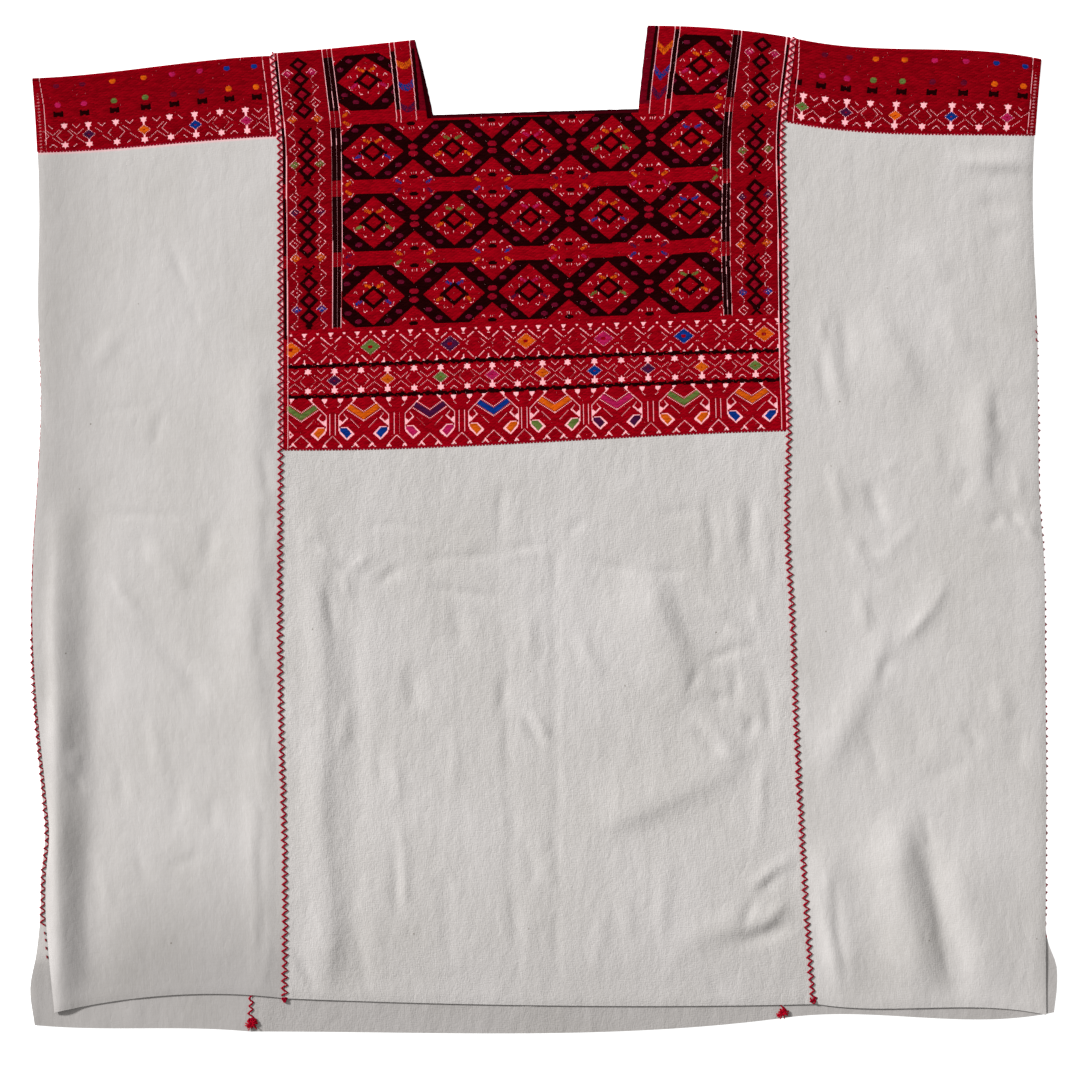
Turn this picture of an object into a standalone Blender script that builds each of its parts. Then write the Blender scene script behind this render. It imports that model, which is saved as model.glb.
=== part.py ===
# Huipil blouse laid flat: three webs of cloth, each woven in one length and folded over the shoulder.
# The centre web has the neck hole. The side webs are joined to it edge to edge and hang over the arms.
# The garment lies on its back, front up, shoulders towards +Y. Tables below are in millimetres.

import math
from collections import namedtuple

import bmesh
import bpy
import numpy as np

MM = 0.001

CLOTH = 1.2             # thickness of the plain cloth
BROCADE_RISE = 0.5      # pattern wefts raise the front's outer side by this much
LAYER_GAP = 1.0         # air between front and back where they lie closest
LEAST_GAP = 0.6         # no trough presses the front nearer to the back than this
PILLOW = 1.6            # the front stands this much higher away from its edges
FADE = 70.0             # distance over which the front comes down to its edges
FOLD_TAPER = 50.0       # a fold reaches its full height this far from its ends
SEAM_GAP = 0.3          # between two webs at a join
CELL = 16.0             # size of one cell of a web's grid on the front
BACK_CELL = 64.0        # and on the back, which is flat
VENT = 110.0            # at the hem the back shows beyond the front, so its cells are small here
FOLD_STEPS = 4          # cells round the fold at the shoulder
BROCADE_EDGE = 2.0      # the brocade's thickness ends within this distance
HEM_HOLD = 0.4          # the pillow's share that is left at the hem
SIDE_HOLD = 0.2         # and at the side seam
NECK_FADE = 0.15        # share of the centre web's width over which the front comes down to the neck
SHARP_ANGLE = 40        # degrees; the cloth's cut edges are steeper, its folds are not
NECK_SHARES = (0.296, 0.713)    # where the neck's sides lie across the centre web
SIDE_SHARES = (1 / 3, 2 / 3)

FOLD_RADIUS = LAYER_GAP / 2
FOLD_REACH = FOLD_RADIUS + CLOTH + BROCADE_RISE / 2

# Edges of the webs in plan, from shoulder to hem: how far right they lie at a given height.
Edge = namedtuple("Edge", "y x")
left_side_front = (
    Edge(352, -398.5), Edge(311, -395.5), Edge(253, -393.5), Edge(175, -394.5), Edge(97, -392),
    Edge(38, -394.5), Edge(-20, -398), Edge(-82, -398.5), Edge(-113, -397), Edge(-160, -393),
    Edge(-207, -388), Edge(-238, -385.5), Edge(-270, -388), Edge(-293, -388.5), Edge(-332, -386),
    Edge(-377, -381.5),
)
left_side_back = (
    Edge(352, -398.5), Edge(311, -395.5), Edge(253, -393.5), Edge(175, -394.5), Edge(97, -392),
    Edge(38, -395), Edge(-20, -399), Edge(-82, -400), Edge(-113, -399), Edge(-160, -396),
    Edge(-207, -391.5), Edge(-238, -389), Edge(-270, -392), Edge(-311, -393.5), Edge(-332, -396),
    Edge(-357, -400.5), Edge(-387, -397),
)
left_join_front = (
    Edge(370, -212), Edge(339, -209), Edge(307, -206), Edge(257, -205.5), Edge(58, -205),
    Edge(-51, -205.5), Edge(-160, -204.5), Edge(-222, -202.5), Edge(-285, -201.5), Edge(-366, -202),
)
left_join_back = (Edge(370, -212), Edge(257, -210.5), Edge(-55, -216), Edge(-391, -229))
right_join_front = (
    Edge(383, 194.5), Edge(315, 186.5), Edge(233, 187.5), Edge(140, 189), Edge(78, 191),
    Edge(12, 189.5), Edge(-66, 193.5), Edge(-160, 197), Edge(-254, 202), Edge(-332, 207),
    Edge(-370, 210),
)
right_join_back = (Edge(383, 194.5), Edge(250, 192.5), Edge(-55, 191.5), Edge(-381, 186.5))
right_side_front = (
    Edge(369, 388), Edge(329, 384.5), Edge(292, 382), Edge(214, 382.5), Edge(175, 384.5),
    Edge(97, 385.5), Edge(19, 387), Edge(-20, 390), Edge(-98, 391), Edge(-195, 392),
    Edge(-315, 391.5), Edge(-378, 392),
)
right_side_back = (
    Edge(369, 388), Edge(329, 384), Edge(214, 381), Edge(19, 385.5), Edge(-98, 389.5),
    Edge(-254, 389.5), Edge(-304, 390.5), Edge(-322, 393.5), Edge(-340, 400), Edge(-354, 400.5),
    Edge(-377, 398),
)

# Courses are lines across a web that follow one weft. down is the cloth's length from the shoulder.
# left_y to right_y are heights at the web's left edge, at its two inner shares and at its right edge.
# inner_left and inner_right are where those inner shares lie between the two edges in plan.
Course = namedtuple("Course", "down left_y inner_left_y inner_right_y right_y inner_left inner_right")
centre_front = (
    Course(0, 371.5, 382, 393, 383.5, 0.274, 0.722),
    Course(57, 318, 324, 329, 332.5, 0.292, 0.713),
    Course(248, 126.5, 131, 137, 140, 0.296, 0.713),
    Course(314, 61, 63, 71.5, 76, 0.296, 0.713),
    Course(461, -86, -83, -80, -78.5, 0.296, 0.713),
    Course(606, -228, -228, -226.5, -225, 0.296, 0.713),
    Course(750, -365.5, -369.5, -371.5, -370, 0.296, 0.713),
)
centre_back = (
    Course(0, 371.5, 382, 393, 383.5, 0.274, 0.722),
    Course(58, 317, 322.5, 327.5, 331, 0.307, 0.713),
    Course(314, 61, 63, 71.5, 76, 0.3, 0.713),
    Course(772, -391.5, -392.5, -391, -381, 0.3, 0.713),
)
left_front = (
    Course(0, 352, 357, 364.5, 369.5, 1 / 3, 2 / 3),
    Course(61, 293.5, 296.5, 302, 306, 1 / 3, 2 / 3),
    Course(250, 101, 104, 107, 109, 1 / 3, 2 / 3),
    Course(500, -143, -140, -137.5, -135, 1 / 3, 2 / 3),
    Course(738, -376.5, -366, -362, -365.5, 1 / 3, 2 / 3),
)
left_back = (
    Course(0, 352, 357, 364.5, 369.5, 1 / 3, 2 / 3),
    Course(61, 293.5, 296.5, 302, 306, 1 / 3, 2 / 3),
    Course(760, -386.5, -389, -389, -391.5, 1 / 3, 2 / 3),
)
right_front = (
    Course(0, 383.5, 375.5, 374, 367, 1 / 3, 2 / 3),
    Course(62, 318, 309.5, 307.5, 307, 1 / 3, 2 / 3),
    Course(250, 124, 119, 117, 116, 1 / 3, 2 / 3),
    Course(500, -124, -127, -128, -130, 1 / 3, 2 / 3),
    Course(748, -369.5, -373.5, -372.5, -378.5, 1 / 3, 2 / 3),
)
right_back = (
    Course(0, 383.5, 375.5, 374, 367, 1 / 3, 2 / 3),
    Course(62, 318, 309.5, 307.5, 307, 1 / 3, 2 / 3),
    Course(756, -381, -378.5, -382, -376.5, 1 / 3, 2 / 3),
)

# A layer is one face of a web: its two edges in plan and its courses.
Layer = namedtuple("Layer", "left_edge right_edge courses")
Web = namedtuple("Web", "width shares front back brocade_down outer_edge neck_down")
webs = {
    "left_web": Web(
        188, SIDE_SHARES,
        Layer(left_side_front, left_join_front, left_front),
        Layer(left_side_back, left_join_back, left_back),
        61, left_side_front, None,
    ),
    "centre_web": Web(
        400, NECK_SHARES,
        Layer(left_join_front, right_join_front, centre_front),
        Layer(left_join_back, right_join_back, centre_back),
        314, None, (57, 58),
    ),
    "right_web": Web(
        192, SIDE_SHARES,
        Layer(right_join_front, right_side_front, right_front),
        Layer(right_join_back, right_side_back, right_back),
        62, right_side_front, None,
    ),
}
web_colours = {
    "left_web": (0.62, 0.59, 0.55),
    "centre_web": (0.62, 0.60, 0.57),
    "right_web": (0.60, 0.59, 0.57),
}

# The front's largest folds, along straight lines, with their half width. Troughs have a negative height.
Fold = namedtuple("Fold", "from_x from_y to_x to_y half_width height")
folds = (
    Fold(-384, 60, -383, -430, 12, 3.6),        # left web: down the side seam
    Fold(-366, 0, -364, -430, 12, -1.4),
    Fold(-239, 132, -241, -165, 15, 2.6),       # and beside the join
    Fold(-193, -10, -173, -430, 12, 2.8),       # centre web: beside the left join
    Fold(-165, -20, -162, -430, 11, -1.4),
    Fold(-27, 52, -10, -430, 13, 2.8),          # down the middle
    Fold(30, -44, 118, -158, 16, 2.8),          # drawn up towards the right join
    Fold(105, -157, 178, -170, 12, 3.0),
    Fold(12, -236, 176, -174, 12, -1.5),
    Fold(262, 272, 395, 262, 11, 2.2),          # right web: where its band ends
    Fold(236, 168, 278, 10, 15, 2.6),           # slanting under the arm
    Fold(375, 205, 374, 25, 13, 2.4),
    Fold(335, -20, 218, -176, 14, 3.0),
    Fold(248, -205, 276, -430, 15, 4.8),        # waves of the hem
    Fold(281, -210, 309, -430, 13, -1.6),
    Fold(311, -262, 348, -430, 14, 4.0),
    Fold(205, -265, 222, -430, 11, 3.0),
)


def smooth_curve(knots, values, at):
    """A curve through the values with the slopes of their neighbours' chords."""
    index = int(np.clip(np.searchsorted(knots, at) - 1, 0, len(knots) - 2))
    slopes = np.gradient(values, knots)
    span = knots[index + 1] - knots[index]
    t = (at - knots[index]) / span
    rise = values[index + 1] - values[index]
    start = slopes[index] * span
    end = slopes[index + 1] * span
    bend = 3 * rise - 2 * start - end
    turn = start + end - 2 * rise
    return values[index] + start * t + bend * t ** 2 + turn * t ** 3


def edge_x(edge, y):
    """How far right an edge lies at this height."""
    rows = edge[::-1]
    heights = [row.y for row in rows]
    held = min(max(y, heights[0]), heights[-1])
    return float(smooth_curve(heights, [row.x for row in rows], held))


def through_four(places, values, at):
    """The cubic through four values."""
    total = 0.0
    for i, place in enumerate(places):
        weight = 1.0
        for j, other in enumerate(places):
            if j != i:
                weight *= (at - other) / (place - other)
        total += weight * values[i]
    return total


def ease(value):
    """0 to 1 with level ends."""
    held = min(max(value, 0.0), 1.0)
    return held * held * (3 - 2 * held)


def plan_point(layer, shares, share, down):
    """Where a point of a layer lies in plan, from its share of the width and its length down."""
    downs = [course.down for course in layer.courses]

    def at_down(column):
        return float(smooth_curve(downs, [getattr(course, column) for course in layer.courses], down))

    heights = [at_down(column) for column in ("left_y", "inner_left_y", "inner_right_y", "right_y")]
    fold_drop = FOLD_REACH * (1 - min(down / CELL, 1.0))
    heights = [height - fold_drop for height in heights]
    left = edge_x(layer.left_edge, heights[0]) + SEAM_GAP / 2
    right = edge_x(layer.right_edge, heights[3]) - SEAM_GAP / 2
    places = (0.0, *shares, 1.0)
    across = np.interp(share, places, (0.0, at_down("inner_left"), at_down("inner_right"), 1.0))
    return left + (right - left) * float(across), through_four(places, heights, share)


def fold_height(x, y):
    """What the folds add to the front's height here."""
    total = 0.0
    for fold in folds:
        run_x = fold.to_x - fold.from_x
        run_y = fold.to_y - fold.from_y
        length = math.hypot(run_x, run_y)
        along = ((x - fold.from_x) * run_x + (y - fold.from_y) * run_y) / length
        aside = ((x - fold.from_x) * run_y - (y - fold.from_y) * run_x) / length
        taper = ease(along / FOLD_TAPER) * ease((length - along) / FOLD_TAPER)
        total += fold.height * taper * math.exp(-((aside / fold.half_width) ** 2))
    return total


def front_height(web, x, y, share, down):
    """Height of the front's under side above the surface that the blouse lies on."""
    last_down = web.front.courses[-1].down
    held = ease(down / FADE) * (HEM_HOLD + (1 - HEM_HOLD) * ease((last_down - down) / FADE))
    if web.outer_edge:
        from_side = abs(x - edge_x(web.outer_edge, y))
        held *= SIDE_HOLD + (1 - SIDE_HOLD) * ease(from_side / FADE)
    if web.neck_down:
        beyond_left = (web.shares[0] - share) / NECK_FADE
        beyond_right = (share - web.shares[1]) / NECK_FADE
        below = (down - web.neck_down[0]) / FADE
        held *= ease(max(beyond_left, beyond_right, below))
    rise = LAYER_GAP + PILLOW * held + fold_height(x, y) * ease(down / FADE)
    return CLOTH + max(rise, LEAST_GAP)


def spaced(start, end, cell):
    """Steps from start to end, each about one cell long."""
    count = max(1, round((end - start) / cell))
    return [start + (end - start) * i / count for i in range(count + 1)]


def column_shares(web):
    """Shares across the web where the grid has its columns."""
    places = (0.0, *web.shares, 1.0)
    columns = [0.0]
    for start, end in zip(places, places[1:]):
        columns += spaced(start, end, CELL / web.width)[1:]
    return columns


def layer_downs(stops, cells):
    """Lengths down the cloth where the grid has its rows, with one at each stop."""
    downs = [stops[0]]
    for start, end, cell in zip(stops, stops[1:], cells):
        downs += spaced(start, end, cell)[1:]
    return downs


def front_rows(web, columns):
    """Rows of points (x, y, z, brocade) from the front hem to the shoulder, with their lengths down."""
    stops = [0.0, web.brocade_down, web.brocade_down + BROCADE_EDGE, web.front.courses[-1].down]
    if web.neck_down:
        stops.insert(1, web.neck_down[0])
    rows = []
    for down in reversed(layer_downs(stops, [CELL] * (len(stops) - 1))):
        brocade = 1.0 if down <= web.brocade_down else 0.0
        row = []
        for share in columns:
            x, y = plan_point(web.front, web.shares, share, down)
            row.append((x, y, front_height(web, x, y, share, down), brocade))
        rows.append((down, row))
    return rows


def fold_rows(web, columns):
    """Rows round the fold at the shoulder."""
    middle = CLOTH + FOLD_RADIUS
    rows = []
    for step in range(1, FOLD_STEPS):
        angle = math.pi * step / FOLD_STEPS
        row = []
        for share in columns:
            x, y = plan_point(web.front, web.shares, share, 0.0)
            height = middle + FOLD_RADIUS * math.cos(angle)
            row.append((x, y + FOLD_RADIUS * math.sin(angle), height, 1 - step / FOLD_STEPS))
        rows.append((0.0, row))
    return rows


def back_rows(web, columns):
    """Rows from the shoulder down to the back hem. Lengths down the back are negative."""
    back_end = web.back.courses[-1].down
    stops = [0.0, back_end - VENT, back_end]
    cells = [BACK_CELL, CELL]
    if web.neck_down:
        stops.insert(1, web.neck_down[1])
        cells.insert(0, CELL)
    rows = []
    for down in layer_downs(stops, cells):
        row = [(*plan_point(web.back, web.shares, share, down), CLOTH, 0.0) for share in columns]
        rows.append((-down, row))
    return rows


def in_neck(web, share, next_share, down, next_down):
    """Whether a cell of the grid lies in the neck hole."""
    if not web.neck_down:
        return False
    middle = (share + next_share) / 2
    middle_down = (down + next_down) / 2
    return web.shares[0] < middle < web.shares[1] and -web.neck_down[1] < middle_down < web.neck_down[0]


def web_mesh(name, web):
    """The web's inner face as an open grid, with its brocade stored in a vertex group of the object."""
    columns = column_shares(web)
    rows = front_rows(web, columns) + fold_rows(web, columns) + back_rows(web, columns)
    shape = bmesh.new()
    brocade = shape.verts.layers.deform.verify()
    grid = []
    for _, row in rows:
        line = []
        for x, y, z, weight in row:
            vert = shape.verts.new((x * MM, y * MM, z * MM))
            vert[brocade][0] = weight
            line.append(vert)
        grid.append(line)
    for i, (down, _) in enumerate(rows[:-1]):
        next_down = rows[i + 1][0]
        for j in range(len(columns) - 1):
            if not in_neck(web, columns[j], columns[j + 1], down, next_down):
                shape.faces.new((grid[i][j], grid[i][j + 1], grid[i + 1][j + 1], grid[i + 1][j]))
    loose = [vert for vert in shape.verts if not vert.link_faces]
    bmesh.ops.delete(shape, geom=loose, context="VERTS")
    mesh = bpy.data.meshes.new(name)
    shape.to_mesh(mesh)
    shape.free()
    return mesh


def cloth_material(name, colour):
    material = bpy.data.materials.new(name)
    material.use_nodes = True
    surface = material.node_tree.nodes["Principled BSDF"]
    surface.inputs["Base Color"].default_value = (*colour, 1.0)
    surface.inputs["Roughness"].default_value = 0.9
    surface.inputs["Metallic"].default_value = 0.0
    return material


def add_web(name, web, collection):
    """One web as a wall of cloth: the inner face, thickened outwards."""
    mesh = web_mesh(name, web)
    part = bpy.data.objects.new(name, mesh)
    collection.objects.link(part)
    part.vertex_groups.new(name="brocade")
    wall = part.modifiers.new("Cloth", "SOLIDIFY")
    wall.thickness = (CLOTH + BROCADE_RISE) * MM
    wall.offset = 1.0
    wall.vertex_group = "brocade"
    wall.thickness_vertex_group = CLOTH / (CLOTH + BROCADE_RISE)
    mesh.materials.append(cloth_material(name, web_colours[name]))
    mesh.shade_smooth()
    mesh.set_sharp_from_angle(angle=math.radians(SHARP_ANGLE))
    return part


def build():
    for leftover in list(bpy.data.objects):
        bpy.data.objects.remove(leftover)
    collection = bpy.data.collections.new("huipil_blouse")
    bpy.context.scene.collection.children.link(collection)
    for name, web in webs.items():
        add_web(name, web, collection)


build()
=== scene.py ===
import math

import bpy
import numpy as np
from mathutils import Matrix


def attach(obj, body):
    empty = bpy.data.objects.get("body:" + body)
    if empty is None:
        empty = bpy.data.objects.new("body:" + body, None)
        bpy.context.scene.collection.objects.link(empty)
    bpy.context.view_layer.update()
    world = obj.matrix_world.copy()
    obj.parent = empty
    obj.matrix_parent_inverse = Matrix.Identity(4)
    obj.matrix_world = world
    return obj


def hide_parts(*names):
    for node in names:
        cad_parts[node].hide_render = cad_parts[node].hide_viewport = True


mm = 0.001
body = "root"
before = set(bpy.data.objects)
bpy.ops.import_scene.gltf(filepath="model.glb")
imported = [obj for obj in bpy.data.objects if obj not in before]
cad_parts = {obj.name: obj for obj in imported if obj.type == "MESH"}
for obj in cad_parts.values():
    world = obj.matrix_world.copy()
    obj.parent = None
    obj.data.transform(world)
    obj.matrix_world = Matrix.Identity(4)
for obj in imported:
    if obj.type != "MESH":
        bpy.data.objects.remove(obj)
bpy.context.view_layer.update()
print("frame loaded")

# ---- plan of the webs: the same edges, courses and large folds as the solids have
cloth = {
    "wall": 1.2, "brocadeRise": 0.5, "seamGap": 0.3, "planCell": 16.0,
    "layerGap": 1.0, "leastGap": 0.6, "pillow": 1.6,    # air between front and back, and more of it inside
    "fade": 70.0, "hemHold": 0.4, "sideHold": 0.2, "neckFade": 0.15,    # how it closes towards the edges
    "hemDrop": 0.9, "hemWidth": 40.0, "sideDrop": 0.7, "sideWidth": 12.0,    # edges lie down on the back
    "rimThin": 0.5, "rimHem": 5.0, "rimSide": 3.0, "rimStart": 20.0,    # and are pressed thin
    "foldTaper": 50.0, "creaseTaper": 26.0, "creaseFloor": (0.2, 0.25), "wander": 0.25, "unevenness": 0.25,
}
foldRadius = cloth["layerGap"] / 2
foldReach = foldRadius + cloth["wall"] + cloth["brocadeRise"] / 2
foldHalf = math.pi / 2 * (foldRadius + cloth["wall"])    # half the length of cloth that turns at the shoulder

# Edges from shoulder to hem: how far right they lie at a given height.
leftSideFront = {
    "y": (352, 311, 253, 175, 97, 38, -20, -82, -113, -160, -207, -238, -270, -293, -332, -377),
    "x": (-398.5, -395.5, -393.5, -394.5, -392, -394.5, -398, -398.5, -397, -393, -388, -385.5, -388, -388.5,
          -386, -381.5)}
leftSideBack = {
    "y": (352, 311, 253, 175, 97, 38, -20, -82, -113, -160, -207, -238, -270, -311, -332, -357, -387),
    "x": (-398.5, -395.5, -393.5, -394.5, -392, -395, -399, -400, -399, -396, -391.5, -389, -392, -393.5,
          -396, -400.5, -397)}
leftJoinFront = {
    "y": (370, 339, 307, 257, 58, -51, -160, -222, -285, -366),
    "x": (-212, -209, -206, -205.5, -205, -205.5, -204.5, -202.5, -201.5, -202)}
leftJoinBack = {"y": (370, 257, -55, -391), "x": (-212, -210.5, -216, -229)}
rightJoinFront = {
    "y": (383, 315, 233, 140, 78, 12, -66, -160, -254, -332, -370),
    "x": (194.5, 186.5, 187.5, 189, 191, 189.5, 193.5, 197, 202, 207, 210)}
rightJoinBack = {"y": (383, 250, -55, -381), "x": (194.5, 192.5, 191.5, 186.5)}
rightSideFront = {
    "y": (369, 329, 292, 214, 175, 97, 19, -20, -98, -195, -315, -378),
    "x": (388, 384.5, 382, 382.5, 384.5, 385.5, 387, 390, 391, 392, 391.5, 392)}
rightSideBack = {
    "y": (369, 329, 214, 19, -98, -254, -304, -322, -340, -354, -377),
    "x": (388, 384, 381, 385.5, 389.5, 389.5, 390.5, 393.5, 400, 400.5, 398)}

# Courses follow one weft across a web: its heights at the edges and at two inner shares of the width, and
# where those shares lie between the edges in plan. down is the cloth's length from the shoulder.
thirds = {"innerLeft": (1 / 3,), "innerRight": (2 / 3,)}
centreFront = {
    "down": (0, 57, 248, 314, 461, 606, 750),
    "leftY": (371.5, 318, 126.5, 61, -86, -228, -365.5),
    "innerLeftY": (382, 324, 131, 63, -83, -228, -369.5),
    "innerRightY": (393, 329, 137, 71.5, -80, -226.5, -371.5),
    "rightY": (383.5, 332.5, 140, 76, -78.5, -225, -370),
    "innerLeft": (0.274, 0.292, 0.296, 0.296, 0.296, 0.296, 0.296),
    "innerRight": (0.722, 0.713, 0.713, 0.713, 0.713, 0.713, 0.713)}
centreBack = {
    "down": (0, 58, 314, 772), "leftY": (371.5, 317, 61, -391.5), "innerLeftY": (382, 322.5, 63, -392.5),
    "innerRightY": (393, 327.5, 71.5, -391), "rightY": (383.5, 331, 76, -381),
    "innerLeft": (0.274, 0.307, 0.3, 0.3), "innerRight": (0.722, 0.713, 0.713, 0.713)}
leftFront = {
    "down": (0, 61, 250, 500, 738), "leftY": (352, 293.5, 101, -143, -376.5),
    "innerLeftY": (357, 296.5, 104, -140, -366), "innerRightY": (364.5, 302, 107, -137.5, -362),
    "rightY": (369.5, 306, 109, -135, -365.5), **thirds}
leftBack = {
    "down": (0, 61, 760), "leftY": (352, 293.5, -386.5), "innerLeftY": (357, 296.5, -389),
    "innerRightY": (364.5, 302, -389), "rightY": (369.5, 306, -391.5), **thirds}
rightFront = {
    "down": (0, 62, 250, 500, 748), "leftY": (383.5, 318, 124, -124, -369.5),
    "innerLeftY": (375.5, 309.5, 119, -127, -373.5), "innerRightY": (374, 307.5, 117, -128, -372.5),
    "rightY": (367, 307, 116, -130, -378.5), **thirds}
rightBack = {
    "down": (0, 62, 756), "leftY": (383.5, 318, -381), "innerLeftY": (375.5, 309.5, -378.5),
    "innerRightY": (374, 307.5, -382), "rightY": (367, 307, -376.5), **thirds}

# width is the loom's, neck how deep the hole is in front and behind, the pair after crumpled how much painted
# shade darkens the outer edge and the hem, coarse how uneven the weave is, and flat and area are the cut in
# metres.
sideShares = (1 / 3, 2 / 3)
webs = {
    "left_web": {
        "shares": sideShares, "width": 188.0, "outer": leftSideFront, "neck": None, "brocadeEnd": 63.5,
        "front": (leftSideFront, leftJoinFront, leftFront),
        "back": (leftSideBack, leftJoinBack, leftBack),
        "crumpled": 0.9, "paintedShading": (0.8, 1.0), "coarse": 0.85,
        "slot": "side_cloth", "flat": (0.188, 1.498), "area": None},
    "centre_web": {
        "shares": (0.296, 0.713), "width": 396.0, "outer": None, "neck": (61, 58), "brocadeEnd": 314.5,
        "front": (leftJoinFront, rightJoinFront, centreFront),
        "back": (leftJoinBack, rightJoinBack, centreBack),
        "crumpled": 1.4, "paintedShading": (0.0, 0.27), "coarse": 1.55,
        "slot": "centre_cloth", "flat": (0.396, 1.522), "area": 0.583},
    "right_web": {
        "shares": sideShares, "width": 192.0, "outer": rightSideFront, "neck": None, "brocadeEnd": 63.5,
        "front": (rightJoinFront, rightSideFront, rightFront),
        "back": (rightJoinBack, rightSideBack, rightBack),
        "crumpled": 1.15, "paintedShading": (0.0, 0.1), "coarse": 1.2,
        "slot": "side_cloth", "flat": (0.192, 1.504), "area": None},
}

# The large folds of the front: from x, y, to x, y, half widths at both sides, height. They lie where the
# solids have theirs, but softer. A trough has a negative height.
largeFolds = (
    (-380, 31, -377, -375, 6.2, 15.6, 3.12), (-352, 46, -351, -375, 10.9, 14, -1.56),
    (-381, -60, -379, -420, 5, 14, 3.3),
    (-224, 140, -224, -168, 20, 12, 2.5), (-222, -117, -221, -375, 9.4, 8, 1.4),
    (-176, 31, -168, -375, 14, 7.8, 2.0), (-150, -24, -146, -375, 9.4, 10.9, -1.17),
    (-32, -47, -21, -375, 3.9, 5.5, -0.65), (77, -19, 118, -150, 28, 12, 3.6),
    (112, -136, 160, -184, 9, 7, 1.9), (166, -178, 28, -236, 24, 10, 2.4),
    (200, -289, 87, -333, 12.5, 9.4, 1.5), (200, -250, 158, -285, 5.5, 4.7, 1.8),
    (309, 290, 389, 281, 5.5, 7.8, 1.87), (251, 182, 299, 98, 17.2, 10.9, 2.81),
    (345, 128, 348, 7, 15.6, 9.4, 3.12), (325, -21, 263, -112, 10, 9, 1.1),
    (265, -105, 210, -202, 16, 9, 1.7), (262, -60, 259, -140, 12, 8, 1.6),
    (213, -235, 238, -375, 9, 17, 3.8), (270, -214, 303, -375, 20, 15, 6.0),
    (286, -222, 330, -375, 8, 12, -2.4), (306, -240, 360, -375, 15, 28, 3.4),
)
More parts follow.
